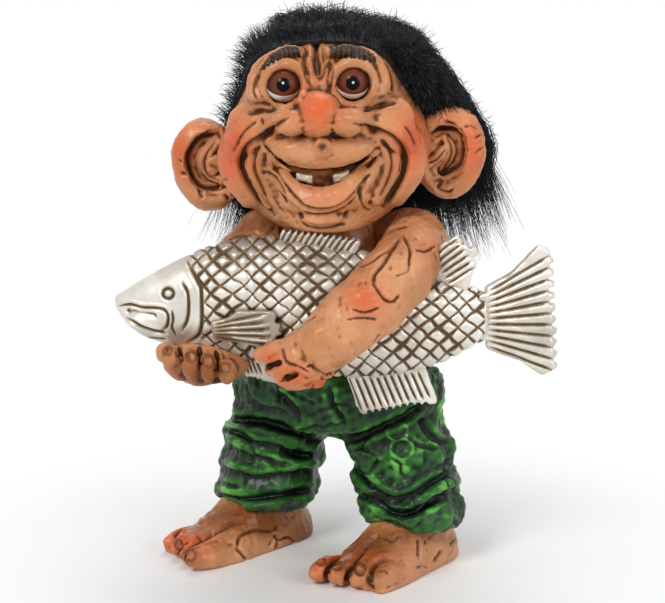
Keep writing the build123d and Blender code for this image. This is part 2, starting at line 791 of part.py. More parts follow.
# Wig: a cloth cap glued to the head behind the hairline, and the fur on it.
# The hairline runs from above the brow down to behind the ears.
hairline_top = Vector(0, -hairline_lead, 0.9 * crown_height)
hairline_low = Vector(0, hairline_setback, -right_ear_drop)
hairline_run = hairline_low - hairline_top
hairline_facing = Vector(0, hairline_run.Z, -hairline_run.Y)
hairline_plane = Plane(
    origin=head_frame.from_local_coords(hairline_top),
    z_dir=head_frame.from_local_coords(hairline_facing) - head_frame.origin,
)

with BuildPart() as wig_form:
    loft_ellipses(head_rings(head_sections, wig_cap_thickness))

ear_rooms = [ear_plate(plane, ear_gap) for plane in ear_planes]

with BuildPart() as wig_cap:
    add(wig_form.part)
    cut_away(head_form.part)
    split(bisect_by=hairline_plane, keep=Keep.BOTTOM)
    split(bisect_by=seat(head_frame, 0, 0, -wig_cap_drop), keep=Keep.TOP)
    cut_away(*ear_rooms)

# Each hair section is (height, half width, half depth, share of the lean, share of the sweep)
hair_half_width = half_brow + hair_side
hair_half_depth = half_head + 0.65 * hair_side
lock_half_width = half_cheek + hair_spread
hair_sections = [
    (crown_height + hair_crown, 0.25 * hair_half_width, 0.28 * hair_half_depth, 0.0, 0.18),
    (crown_height + 0.3 * hair_crown, 0.58 * hair_half_width, 0.60 * hair_half_depth, 0.0, 0.24),
    (0.78 * crown_height, 0.88 * hair_half_width, 0.86 * hair_half_depth, 0.17, 0.35),
    (0.42 * crown_height, 1.06 * hair_half_width, hair_half_depth, 0.33, 0.47),
    (0.0, 0.96 * lock_half_width, hair_half_depth, 0.75, 0.53),
    (-0.39 * hair_drop, lock_half_width, 0.92 * hair_half_depth, 0.92, 0.71),
    (-0.78 * hair_drop, lock_half_width, 0.74 * hair_half_depth, 0.92, 0.88),
    (-hair_drop, 0.90 * lock_half_width, 0.55 * hair_half_depth, 1.0, 1.0),
]

with BuildPart() as hair:
    hair_rings = []
    for height, half_width, half_depth, lean, sweep in hair_sections:
        plane = seat(head_frame, lean * hair_lean, sweep * hair_sweep, height)
        hair_rings.append((plane, half_width, half_depth))
    loft_ellipses(hair_rings)
    split(bisect_by=hairline_plane, keep=Keep.BOTTOM)
    cut_away(wig_form.part, head_form.part, torso_form.part, *ear_rooms)

# Fish pins: two in one node
with BuildPart() as fish_pins:
    for run in fish_pin_runs:
        add(pin(run, fish_pin_diameter))

pieces = {
    "right_foot": right_foot,
    "left_foot": left_foot,
    "trousers": trousers.part,
    "torso": torso.part,
    "head": head.part,
    "right_ear": right_ear,
    "left_ear": left_ear,
    "right_eye": right_eye,
    "left_eye": left_eye,
    "teeth": teeth.part,
    "right_arm": right_arm.part,
    "left_arm": left_arm.part,
    "wig_cap": wig_cap.part,
    "hair": hair.part,
    "fish_body": fish_body.part,
    **fish_fins,
    "right_ankle_pin": pin(right_ankle_run, ankle_pin_diameter),
    "left_ankle_pin": pin(left_ankle_run, ankle_pin_diameter),
    "waist_dowel": pin(waist_run, waist_dowel_diameter),
    "neck_dowel": pin(neck_run, neck_dowel_diameter),
    "right_shoulder_pin": pin(right_shoulder_run, shoulder_pin_diameter),
    "left_shoulder_pin": pin(left_shoulder_run, shoulder_pin_diameter),
    "fish_pins": fish_pins.part,
}

os.makedirs("parts", exist_ok=True)
for name, piece in pieces.items():
    piece.label = name
    export_step(piece, f"parts/{name}.step")
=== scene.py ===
import math

import bpy
import numpy as np
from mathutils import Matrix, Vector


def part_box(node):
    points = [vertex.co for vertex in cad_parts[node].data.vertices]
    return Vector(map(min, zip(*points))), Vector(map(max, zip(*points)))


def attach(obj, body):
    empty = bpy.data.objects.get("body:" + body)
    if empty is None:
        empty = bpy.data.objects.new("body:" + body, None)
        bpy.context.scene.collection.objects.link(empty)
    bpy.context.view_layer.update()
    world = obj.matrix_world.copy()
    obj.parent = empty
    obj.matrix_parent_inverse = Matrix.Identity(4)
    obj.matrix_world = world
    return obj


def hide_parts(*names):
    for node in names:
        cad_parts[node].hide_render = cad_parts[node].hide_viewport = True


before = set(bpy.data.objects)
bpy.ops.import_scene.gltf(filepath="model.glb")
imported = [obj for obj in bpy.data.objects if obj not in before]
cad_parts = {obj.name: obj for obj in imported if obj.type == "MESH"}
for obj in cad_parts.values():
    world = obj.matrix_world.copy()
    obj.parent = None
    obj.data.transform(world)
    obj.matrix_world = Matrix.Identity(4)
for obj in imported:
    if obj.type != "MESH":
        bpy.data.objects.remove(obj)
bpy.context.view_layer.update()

import openvdb

print("frame loaded:", len(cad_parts), "nodes")

# The photograph's camera. Lengths are millimetres until a mesh is made.
photo = {
    "width": 665,
    "height": 603,
    "focal": 2742.0,  # pixels
    "distance": 850.0,
    "elevation": 14.0,
    "target": (-0.5, 0.0, 86.0),
    "sensor": 36.0,
}
rise = math.radians(photo["elevation"])
lookAlong = np.array((0.0, math.cos(rise), -math.sin(rise)))
lookUp = np.array((0.0, math.sin(rise), math.cos(rise)))
lensPoint = np.array(photo["target"]) - lookAlong * photo["distance"]
pixelSize = photo["distance"] / photo["focal"]  # one pixel at the figure, in millimetres
metre = 0.001
coarse = 1.0
tiny, endless = 1e-9, 1e9


def toPhoto(points):  # where each point falls in the photograph
    away = points - lensPoint
    depth = away @ lookAlong
    across = photo["width"] / 2 + photo["focal"] * away[:, 0] / depth
    down = photo["height"] / 2 - photo["focal"] * (away @ lookUp) / depth
    return np.stack((across, down), 1)


def sightLine(spot):  # direction from the lens through a pixel
    across = (spot[0] - photo["width"] / 2) / photo["focal"]
    up = (photo["height"] / 2 - spot[1]) / photo["focal"]
    return lookAlong + np.array((across, 0.0, 0.0)) + lookUp * up


def curveThrough(path, steps=6):  # a smooth line through a few chosen points
    path = np.asarray(path, float)
    ends = np.vstack((2 * path[0] - path[1], path, 2 * path[-1] - path[-2]))
    line = []
    for a, b, c, d in zip(ends, ends[1:], ends[2:], ends[3:]):
        for t in np.arange(steps) / steps:
            line.append(0.5 * (2 * b + (c - a) * t + (2 * a - 5 * b + 4 * c - d) * t**2
                               + (3 * b - a - 3 * c + d) * t**3))
    line.append(path[-1])
    return np.array(line)


def clamp(values):
    return np.clip(values, 0, 1)


def bell(distance, width):  # 1 at no distance, falling off softly
    return np.exp(-((distance / width) ** 2))


def unit(vectors):  # the same directions, one long
    return vectors / np.maximum(np.linalg.norm(vectors, axis=-1, keepdims=True), tiny)


def toSegment(points, a, b):  # each point's distance from a segment, and its place along it
    run = b - a
    t = clamp((points - a) @ run / max(run @ run, tiny))
    return np.linalg.norm(points - a - t[:, None] * run, axis=1), t


def lumps(points, size, seed, waves=7):  # smooth seeded unevenness, about -1 to 1
    rng = np.random.default_rng(seed)
    total = np.zeros(len(points))
    for _ in range(waves):
        along = rng.normal(size=3)
        along *= 2 * math.pi / (size * rng.uniform(0.7, 1.4) * np.linalg.norm(along))
        total += np.sin(points @ along + rng.uniform(0, 2 * math.pi))
    return total / math.sqrt(waves / 2) / 1.6


def inside(spots, outline):  # 1 for the spots within a drawn outline
    low, high = outline.min(0), outline.max(0)
    chosen = np.nonzero(np.all((spots > low) & (spots < high), axis=1))[0]
    u, v = spots[chosen, 0], spots[chosen, 1]
    crossings = np.zeros(len(chosen), int)
    for a, b in zip(outline, np.roll(outline, -1, axis=0)):
        spans = (a[1] > v) != (b[1] > v)
        where = a[0] + (v - a[1]) * (b[0] - a[0]) / (b[1] - a[1] if b[1] != a[1] else tiny)
        crossings += spans & (u < where)
    result = np.zeros(len(spots))
    result[chosen] = crossings % 2
    return result


class Clay:  # a solid as signed distances on a grid, to add to and dig into
    def __init__(self, node, voxel, soften=0.0, room=3.0, band=10):
        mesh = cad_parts[node].data
        points = np.empty(len(mesh.vertices) * 3, np.float32)
        mesh.vertices.foreach_get("co", points)
        points = points.reshape(-1, 3) / metre
        mesh.calc_loop_triangles()
        triangles = np.empty(len(mesh.loop_triangles) * 3, np.int32)
        mesh.loop_triangles.foreach_get("vertices", triangles)
        self.voxel = voxel * coarse
        self.low = points.min(0) - room
        self.shape = np.ceil((points.max(0) + room - self.low) / self.voxel).astype(int) + 1
        local = ((points - self.low) / self.voxel).astype(np.float32)
        grid = openvdb.FloatGrid.createLevelSetFromPolygons(
            local, triangles=triangles.reshape(-1, 3).astype(np.uint32), halfWidth=float(band)
        )
        self.field = np.empty(self.shape, np.float32)
        grid.copyToArray(self.field)
        self.field *= self.voxel
        if soften:
            self.soften(soften)

    def soften(self, amount):  # rounds the solid off with three box blurs
        reach = max(1, round((math.sqrt(4 * (amount / self.voxel) ** 2 + 1) - 1) / 2))
        for axis in range(3):
            for _ in range(3):
                pads = [(0, 0)] * 3
                pads[axis] = (reach + 1, reach)
                total = np.cumsum(np.pad(self.field, pads, mode="edge"), axis=axis, dtype=np.float32)
                total = np.moveaxis(total, axis, 0)
                blurred = (total[2 * reach + 1:] - total[:-2 * reach - 1]) / (2 * reach + 1)
                self.field = np.ascontiguousarray(np.moveaxis(blurred, 0, axis))

    def window(self, low, high):
        first = np.clip(np.floor((low - self.low) / self.voxel).astype(int), 0, self.shape)
        last = np.clip(np.ceil((high - self.low) / self.voxel).astype(int) + 1, 0, self.shape)
        axes = [self.low[i] + self.voxel * np.arange(first[i], last[i]) for i in range(3)]
        where = tuple(slice(a, b) for a, b in zip(first, last))
        return where, np.meshgrid(*axes, indexing="ij", sparse=True)

    def join(self, where, shape, blend, dig):
        sign = -1.0 if dig else 1.0
        old = self.field[where] * sign
        share = clamp(0.5 + 0.5 * (old - shape) / blend)
        new = old + (shape - old) * share - blend * share * (1 - share)
        self.field[where] = new * sign

    def blob(self, centre, radii, blend=1.0, turn=0.0, dig=False):  # an ellipsoid, rolled about the y axis
        centre = np.asarray(centre, float)
        reach = max(radii) + blend + 1
        where, (x, y, z) = self.window(centre - reach, centre + reach)
        c, s = math.cos(math.radians(turn)), math.sin(math.radians(turn))
        dx, dy, dz = x - centre[0], y - centre[1], z - centre[2]
        parts = (dx * c + dz * s, dy, dz * c - dx * s)
        k = np.sqrt(sum((part / r) ** 2 for part, r in zip(parts, radii)))
        steep = np.sqrt(sum((part / r**2) ** 2 for part, r in zip(parts, radii)))
        self.join(where, k * (k - 1) / np.maximum(steep, 1e-6), blend, dig)

    def tube(self, points, radii, blend=1.0, dig=False):  # a string of tapered capsules
        points = np.asarray(points, float)
        reach = max(radii) + blend + 1
        where, grid = self.window(points.min(0) - reach, points.max(0) + reach)
        nearest = None
        for a, b, ra, rb in zip(points, points[1:], radii, radii[1:]):
            run = b - a
            t = sum((axis - start) * step for axis, start, step in zip(grid, a, run))
            t = clamp(t / max(run @ run, tiny))
            d = np.sqrt(sum((axis - start - t * step) ** 2 for axis, start, step in zip(grid, a, run)))
            d = d - (ra + (rb - ra) * t)
            nearest = d if nearest is None else np.minimum(nearest, d)
        self.join(where, nearest, blend, dig)

    def sample(self, points):
        spots = np.clip(np.rint((points - self.low) / self.voxel).astype(int), 0, self.shape - 1)
        return self.field[spots[:, 0], spots[:, 1], spots[:, 2]]

    def hit(self, spot):  # the point of the surface that a pixel shows, or None
        line = sightLine(spot)
        high = self.low + self.shape * self.voxel
        run = np.arange(self.low[1], high[1], self.voxel * 0.5)
        points = lensPoint + line * ((run - lensPoint[1]) / line[1])[:, None]
        within = np.all((points > self.low) & (points < high), axis=1)
        solid = np.nonzero(within & (self.sample(points) < 0))[0]
        return points[solid[0]] if len(solid) else None

    def pad(self, spot, radii, lift=0.0, blend=1.5, turn=0.0, dig=False):  # a blob set on what a pixel shows
        centre = self.hit(spot)
        if centre is not None:
            self.blob(centre - lookAlong * lift, radii, blend, turn, dig)

    def roll(self, path, lift=0.0, blend=1.2, dig=False):  # a tube laid on what a row of pixels shows
        line = curveThrough(path, 5)
        found = [(self.hit(spot[:2]), spot[2]) for spot in line]
        found = [(point, radius) for point, radius in found if point is not None]
        if len(found) > 1:
            points = np.array([point for point, _ in found])
            away = points[:, 1].copy()
            away[1:-1] = (away[:-2] + 2 * away[1:-1] + away[2:]) / 4
            points[:, 1] = away
            self.tube(points - lookAlong * lift, [radius for _, radius in found], blend, dig)

    def carve(self, outline, back, blend=0.4):  # digs a drawn outline along the sight lines, to a y plane
        outline = np.asarray(outline, float)
        reach = []
        for spot in outline:
            line = sightLine(spot)
            reach += [lensPoint + line * ((y - lensPoint[1]) / line[1]) for y in (self.low[1], back)]
        where, grid = self.window(np.min(reach, axis=0) - 2, np.max(reach, axis=0) + 2)
        shape = np.broadcast(*grid).shape
        points = np.stack([np.broadcast_to(axis, shape).ravel() for axis in grid], 1)
        spots = toPhoto(points)
        away = np.full(len(spots), endless)
        for a, b in zip(outline, np.roll(outline, -1, axis=0)):
            away = np.minimum(away, toSegment(spots, a, b)[0])
        away = away * pixelSize * np.where(inside(spots, outline) > 0, -1, 1)
        self.join(where, np.maximum(away, points[:, 1] - back).reshape(shape), blend, True)

    def surface(self):
        grid = openvdb.FloatGrid(self.voxel * 10)
        grid.copyFromArray(self.field)
        points, quads = grid.convertToQuads(0.0)
        points = points.astype(float) * self.voxel + self.low
        quads = quads.astype(np.int64)
        a, b, c, d = (points[quads[:, i]] for i in range(4))
        if np.sum(np.cross(c - a, d - b) * (a + b + c + d)) < 0:
            quads = quads[:, ::-1].copy()
        return points, quads


class Skin:  # the surface of a clay solid, for fine carving and paint masks
    def __init__(self, clay):
        self.points, self.quads = clay.surface()
        self.links = np.concatenate([self.quads[:, [i, (i + 1) % 4]] for i in range(4)])
        self.links = np.concatenate((self.links, self.links[:, ::-1]))
        self.degree = np.bincount(self.links[:, 0], minlength=len(self.points))
        self.masks = {name: np.zeros(len(self.points)) for name in ("wash", "blush", "edge", "tone", "shade")}
        self.push = np.zeros(len(self.points))
        self.refresh()

    def refresh(self):
        a, b, c, d = (self.points[self.quads[:, i]] for i in range(4))
        flat = np.cross(c - a, d - b)
        normals = np.zeros_like(self.points)
        for axis in range(3):
            for i in range(4):
                normals[:, axis] += np.bincount(self.quads[:, i], flat[:, axis], minlength=len(self.points))
        self.normals = unit(normals)
        self.spots = toPhoto(self.points)
        self.facing = -(self.normals @ lookAlong)

    def raiseMask(self, name, values, chosen=slice(None)):  # where the values are higher
        self.masks[name][chosen] = np.maximum(self.masks[name][chosen], values)

    def average(self, values):
        total = np.bincount(self.links[:, 0], values[self.links[:, 1]], minlength=len(values))
        return total / np.maximum(self.degree, 1)

    def relaxed(self, rounds):
        points = self.points.copy()
        for _ in range(rounds):
            points = np.stack([self.average(points[:, axis]) for axis in range(3)], 1)
        return points

    def nearPath(self, path, reach, side):  # the points near a drawn line: index, distance, hold
        line = curveThrough(path, 5)
        low, high = line.min(0) - reach / pixelSize, line.max(0) + reach / pixelSize
        gate = self.facing * side if side else np.abs(self.facing)
        chosen = np.nonzero(np.all((self.spots > low) & (self.spots < high), axis=1) & (gate > 0.05))[0]
        best = np.full(len(chosen), endless)
        along = np.zeros(len(chosen))
        for i, (a, b) in enumerate(zip(line, line[1:])):
            d, t = toSegment(self.spots[chosen], a, b)
            along = np.where(d < best, (i + t) / (len(line) - 1), along)
            best = np.minimum(best, d)
        taper = clamp(np.minimum(along, 1 - along) * 5 + 0.3)  # weaker at the ends
        return chosen, best * pixelSize, taper * clamp(gate[chosen] * 3)

    def cut(self, path, width, depth, lip=0.25, paint=1.0, side=1):  # a groove: front 1, back -1, both 0
        chosen, d, hold = self.nearPath(path, width * 4, side)
        self.push[chosen] += depth * (lip * bell(d - 2.1 * width, width) - bell(d, width)) * hold
        self.raiseMask("wash", bell(d, 0.8 * width) * hold * paint, chosen)

    def ridge(self, path, width, height):
        chosen, d, hold = self.nearPath(path, width * 4, 1)
        self.push[chosen] += height * bell(d, width) * hold

    def scratch(self, count, length, width, depth, seed, paint):  # short seeded tool marks all over
        rng = np.random.default_rng(seed)
        for start in rng.integers(len(self.points), size=count):
            along = np.cross(self.normals[start], rng.normal(size=3))
            along *= length * rng.uniform(0.3, 0.6) / max(np.linalg.norm(along), tiny)
            bend = np.cross(self.normals[start], along) * rng.normal() * 0.35
            line = self.points[start] + np.array((-along, bend, along))
            reach = length * 0.6 + 3 * width
            chosen = np.nonzero(np.all(np.abs(self.points - line[1]) < reach, axis=1))[0]
            d = np.minimum(*(toSegment(self.points[chosen], a, b)[0] for a, b in zip(line, line[1:])))
            self.push[chosen] += depth * (0.3 * bell(d - 2 * width, width) - bell(d, width))
            self.raiseMask("wash", bell(d, width) * paint, chosen)

    def spotMask(self, name, spot, radii, strength=1.0):  # a soft airbrushed spot in the photograph's plane
        far = np.linalg.norm((self.spots - np.asarray(spot)) / np.asarray(radii), axis=1)
        self.raiseMask(name, strength * bell(far, 1.0) * clamp(self.facing * 3 + 0.5))

    def settle(self, rounds=8, gain=4.0):  # moves the carved points, then finds hollows and edges
        self.points = self.points + self.normals * self.push[:, None]
        self.push[:] = 0
        self.refresh()
        hollow = np.sum((self.relaxed(rounds) - self.points) * self.normals, axis=1)
        broad = np.sum((self.relaxed(rounds * 4) - self.points) * self.normals, axis=1)
        # painted shade: the broad hollows are darkened
        self.masks["shade"] = clamp(broad * gain * 0.6)
        self.masks["wash"] = clamp(np.maximum(self.masks["wash"], hollow * gain))
        self.masks["edge"] = clamp(-hollow * gain)

    def carve(self, cuts, marks):  # the cuts of a piece's settings
        how = (marks.get("lip", 0.25), marks["paint"], marks.get("side", 1))
        for path, width, depth in cuts:
            self.cut(path, width * marks["wide"], depth * marks["deep"], *how)

    def roughen(self, marks, hold=1.0):  # the tool marks and the unevenness of a piece's settings
        if "scratches" in marks:
            self.scratch(*marks["scratches"])
        uneven = sum(height * lumps(self.points, size, seed) for height, size, seed in marks["lumps"])
        self.push += uneven * hold

    def airbrush(self, look, stainAndShade=0.0):  # the painted shade spots, darkened further with wash, and the blushes of a piece's settings
        for spot, radii, strength in look.get("shades", ()):
            self.spotMask("shade", spot, radii, strength)
            self.spotMask("wash", spot, radii, strength * stainAndShade)
        for spot, radii, strength in look.get("blush", ()):
            self.spotMask("blush", spot, radii, strength)


def meshFrom(name, points, faces, masks):
    mesh = bpy.data.meshes.new(name)
    corners = faces.shape[1]
    mesh.vertices.add(len(points))
    mesh.vertices.foreach_set("co", (points * metre).astype(np.float32).ravel())
    mesh.loops.add(faces.size)
    mesh.loops.foreach_set("vertex_index", faces.astype(np.int32).ravel())
    mesh.polygons.add(len(faces))
    mesh.polygons.foreach_set("loop_start", np.arange(0, faces.size, corners, dtype=np.int32))
    mesh.polygons.foreach_set("use_smooth", np.ones(len(faces), bool))
    mesh.update(calc_edges=True)
    for key, values in masks.items():
        mesh.attributes.new(key, "FLOAT", "POINT").data.foreach_set("value", values.astype(np.float32))
    return mesh


def show(name, mesh, material, slot, *nodes):
    mesh.materials.append(material)
    piece = bpy.data.objects.new(name, mesh)
    bpy.context.scene.collection.objects.link(piece)
    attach(piece, "root")
    if nodes:
        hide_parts(*nodes)
    print("piece", name, len(mesh.polygons), "faces")


def finishPiece(skin, name, material, slot, node):
    show(name, meshFrom(name, skin.points, skin.quads, skin.masks), material, slot, node)


# Materials

white, black = (1, 1, 1, 1), (0, 0, 0, 1)


def newMaterial(name):
    material = bpy.data.materials.new(name)
    material.use_nodes = True
    tree = material.node_tree
    tree.nodes.clear()
    out = tree.nodes.new("ShaderNodeOutputMaterial")
    shader = tree.nodes.new("ShaderNodeBsdfPrincipled")
    tree.links.new(shader.outputs["BSDF"], out.inputs["Surface"])
    return material, tree, shader


def fill(tree, made, inputs):  # links or plain values for a node's inputs
    for key, value in inputs.items():
        if isinstance(value, bpy.types.NodeSocket):
            tree.links.new(value, made.inputs[key])
        elif value is not None:
            made.inputs[key].default_value = value


def put(tree, kind, inputs=(), **settings):  # a node with its settings and inputs
    made = tree.nodes.new(kind)
    for key, value in settings.items():
        setattr(made, key, value)
    fill(tree, made, dict(inputs))
    return made


def mask(tree, name):
    return put(tree, "ShaderNodeAttribute", attribute_name=name).outputs["Fac"]


def blendColour(tree, share, first, second):
    return put(tree, "ShaderNodeMix", {0: share, 6: first, 7: second}, data_type="RGBA").outputs[2]


def sums(tree, how, first, second, third=None):
    made = put(tree, "ShaderNodeMath", {0: first, 1: second, 2: third}, operation=how,
               use_clamp=how != "MULTIPLY_ADD")
    return made.outputs[0]


def times(tree, first, second):
    return sums(tree, "MULTIPLY", first, second)


def objectPlace(tree):
    return put(tree, "ShaderNodeTexCoord").outputs["Object"]


def noise(tree, scale, **more):
    inputs = {"Vector": objectPlace(tree), "Scale": scale, **more}
    return put(tree, "ShaderNodeTexNoise", inputs).outputs["Fac"]


def spread(tree, value, low, high, how="LINEAR", to=(0.0, 1.0)):  # stretches a part of a value's range
    inputs = {"Value": value, "From Min": low, "From Max": high, "To Min": to[0], "To Max": to[1]}
    return put(tree, "ShaderNodeMapRange", inputs, interpolation_type=how).outputs["Result"]


def ramp(tree, value, stops):
    made = put(tree, "ShaderNodeValToRGB")
    for _ in range(len(stops) - 2):
        made.color_ramp.elements.new(0.5)
    for element, (place, colour) in zip(made.color_ramp.elements, stops):
        element.position = place
        element.color = colour
    tree.links.new(value, made.inputs["Fac"])
    return made.outputs["Color"]


def newGroup(name, inputs, outputs):
    group = bpy.data.node_groups.new(name, "ShaderNodeTree")
    for key, value in inputs.items():
        kind = "NodeSocketColor" if isinstance(value, tuple) else "NodeSocketFloat"
        group.interface.new_socket(key, in_out="INPUT", socket_type=kind).default_value = value
    for key, kind in outputs.items():
        group.interface.new_socket(key, in_out="OUTPUT", socket_type=kind)
    return group, group.nodes.new("NodeGroupInput").outputs, group.nodes.new("NodeGroupOutput")


def place(tree, group, **inputs):
    return put(tree, "ShaderNodeGroup", inputs, node_tree=group).outputs


def makeBrushwork():  # two tones of hand-brushed paint, in patches
    group, given, out = newGroup(
        "brushwork", {"First": white, "Second": black, "Scale": 120.0},
        {"Color": "NodeSocketColor", "Patch": "NodeSocketFloat"})
    broad = noise(group, given["Scale"], Detail=5.0, Roughness=0.62, Distortion=0.6)
    patch = spread(group, broad, 0.36, 0.66)
    fill(group, out, {"Color": blendColour(group, patch, given["First"], given["Second"]), "Patch": patch})
    return group


def makeAntiqueWash():  # dark paint left in the hollows, broken up where it was wiped
    group, given, out = newGroup(
        "antiqueWash",
        {"Paint": white, "Glaze": (0.3, 0.3, 0.3, 1), "Wash": black, "Amount": 1.0, "Scale": 500.0},
        {"Color": "NodeSocketColor", "Mask": "NodeSocketFloat"})
    broken = sums(group, "MULTIPLY_ADD", noise(group, given["Scale"], Detail=3.0), 0.9, 0.5)
    amount = times(group, times(group, mask(group, "wash"), broken), given["Amount"])
    thin = times(group, spread(group, amount, 0.06, 0.55, "SMOOTHSTEP"), 0.85)
    thick = spread(group, amount, 0.35, 1.1, "SMOOTHSTEP")
    glazed = blendColour(group, thin, given["Paint"], given["Glaze"])
    fill(group, out, {"Color": blendColour(group, thick, glazed, given["Wash"]), "Mask": thick})
    return group


def makeCastGrain():  # the fine unevenness of a cast and hand-painted surface
    group, given, out = newGroup("castGrain", {"Scale": 900.0, "Pits": 0.3}, {"Height": "NodeSocketFloat"})
    pits = put(group, "ShaderNodeTexVoronoi", {"Vector": objectPlace(group), "Scale": given["Scale"]})
    dent = times(group, pits.outputs["Distance"], given["Pits"])
    fill(group, out, {"Height": sums(group, "ADD", noise(group, given["Scale"], Detail=4.0), dent)})
    return group


brushwork, antiqueWash, castGrain = makeBrushwork(), makeAntiqueWash(), makeCastGrain()


def bump(tree, height, strength, distance):
    made = put(tree, "ShaderNodeBump", {"Height": height, "Strength": strength, "Distance": distance})
    return made.outputs["Normal"]


def grainBump(tree, scale, pits, strength, distance):
    return bump(tree, place(tree, castGrain, Scale=scale, Pits=pits)["Height"], strength, distance)


def makeSkinPaint():
    look = {
        "tan": (0.61, 0.260, 0.112, 1),
        "peach": (0.73, 0.350, 0.172, 1),
        "blush": (0.74, 0.120, 0.034, 1),
        "shade": (0.25, 0.076, 0.015, 1),
        "glaze": (0.22, 0.066, 0.012, 1),
        "wash": (0.052, 0.017, 0.005, 1),
        "brow": (0.026, 0.014, 0.009, 1),
        "stainAndShade": 0.26,  # shares of the stain patches, of painted shade in the hollows and shaded spots, and of brow paint
        "hollows": 0.92,
        "brows": 0.93,
        "rough": (0.2, 0.34),  # what the wash adds, and the paint's own
        "grain": (700.0, 0.4, 0.25, 0.0004),  # scale, pits, strength, distance
    }
    material, tree, shader = newMaterial("skin_paint")
    paint = place(tree, brushwork, First=look["tan"], Second=look["peach"], Scale=90.0)["Color"]
    paint = blendColour(tree, mask(tree, "blush"), paint, look["blush"])
    stainAndShade = place(tree, brushwork, Scale=55.0)["Patch"]
    paint = blendColour(tree, times(tree, stainAndShade, look["stainAndShade"]), paint, look["shade"])
    paint = blendColour(tree, times(tree, mask(tree, "shade"), look["hollows"]), paint, look["shade"])
    washed = place(tree, antiqueWash, Paint=paint, Glaze=look["glaze"], Wash=look["wash"], Scale=420.0)
    paint = blendColour(tree, times(tree, mask(tree, "tone"), look["brows"]), washed["Color"], look["brow"])
    fill(tree, shader, {
        "Base Color": paint, "Roughness": sums(tree, "MULTIPLY_ADD", washed["Mask"], *look["rough"]),
        "Specular IOR Level": 0.2, "Coat Weight": 0.14, "Coat Roughness": 0.16,
        "Normal": grainBump(tree, *look["grain"])})
    return material


def makeTrouserPaint():
    look = {
        "dark": (0.005, 0.010, 0.007, 1),
        "grey": (0.020, 0.044, 0.026, 1),
        "green": (0.052, 0.265, 0.034, 1),
        "bright": (0.180, 0.560, 0.100, 1),
        "wash": (0.003, 0.005, 0.004, 1),
        "edges": 0.6,  # how much green the edges and the painted spots take
        "spots": 0.8,
        "everywhere": 0.08,
        "patches": (0.95, 0.15),
        "rough": (0.12, 0.3),
        "grain": (520.0, 0.6, 0.4, 0.0006),
    }
    material, tree, shader = newMaterial("trouser_paint")
    base = place(tree, brushwork, First=look["dark"], Second=look["grey"], Scale=110.0)["Color"]
    patch = place(tree, brushwork, Scale=58.0)["Patch"]
    high = sums(tree, "ADD", times(tree, mask(tree, "edge"), look["edges"]),
                times(tree, mask(tree, "tone"), look["spots"]))
    high = times(tree, sums(tree, "ADD", high, look["everywhere"]),
                 sums(tree, "MULTIPLY_ADD", patch, *look["patches"]))
    colour = blendColour(tree, high, base, look["green"])
    colour = blendColour(tree, spread(tree, high, 0.5, 1.0), colour, look["bright"])
    washed = place(tree, antiqueWash, Paint=colour, Glaze=look["dark"], Wash=look["wash"], Scale=420.0)
    fill(tree, shader, {
        "Base Color": washed["Color"], "Roughness": sums(tree, "MULTIPLY_ADD", patch, *look["rough"]),
        "Specular IOR Level": 0.16, "Coat Weight": 0.12, "Coat Roughness": 0.1,
        "Normal": grainBump(tree, *look["grain"])})
    return material


def makeFishSilver():
    look = {
        "silver": (0.87, 0.835, 0.765, 1),
        "grey": (0.58, 0.54, 0.47, 1),
        "gold": (0.24, 0.145, 0.048, 1),
        "shade": (0.15, 0.115, 0.072, 1),
        "wash": (0.062, 0.033, 0.010, 1),
        "hollows": 0.8,
        "amount": 1.45,
        "metal": (-0.4, 0.45),
        "rough": (0.15, 0.36),
        "grain": (800.0, 0.2, 0.12, 0.0003),
    }
    material, tree, shader = newMaterial("fish_silver")
    paint = place(tree, brushwork, First=look["silver"], Second=look["grey"], Scale=60.0)["Color"]
    paint = blendColour(tree, times(tree, mask(tree, "shade"), look["hollows"]), paint, look["shade"])
    washed = place(tree, antiqueWash, Paint=paint, Glaze=look["gold"], Wash=look["wash"],
                   Amount=look["amount"], Scale=380.0)
    fill(tree, shader, {
        "Base Color": washed["Color"], "Metallic": sums(tree, "MULTIPLY_ADD", washed["Mask"], *look["metal"]),
        "Roughness": sums(tree, "MULTIPLY_ADD", washed["Mask"], *look["rough"]),
        "Specular IOR Level": 0.35, "Coat Weight": 0.1, "Coat Roughness": 0.25,
        "Normal": grainBump(tree, *look["grain"])})
    return material


def makeFur():
    look = {"root": (0.007, 0.008, 0.008, 1), "tip": (0.050, 0.060, 0.068, 1), "uneven": (0.6, 1.6)}
    material, tree, shader = newMaterial("hair_fur")
    colour = ramp(tree, mask(tree, "along"), [(0.0, look["root"]), (0.7, look["root"]), (1.0, look["tip"])])
    shade = spread(tree, noise(tree, 300.0, Detail=2.0), 0.3, 0.7, to=look["uneven"])
    tint = put(tree, "ShaderNodeVectorMath", {0: colour, 1: shade}, operation="MULTIPLY").outputs["Vector"]
    fill(tree, shader, {"Base Color": tint, "Roughness": 0.5, "Specular IOR Level": 0.2})
    return material


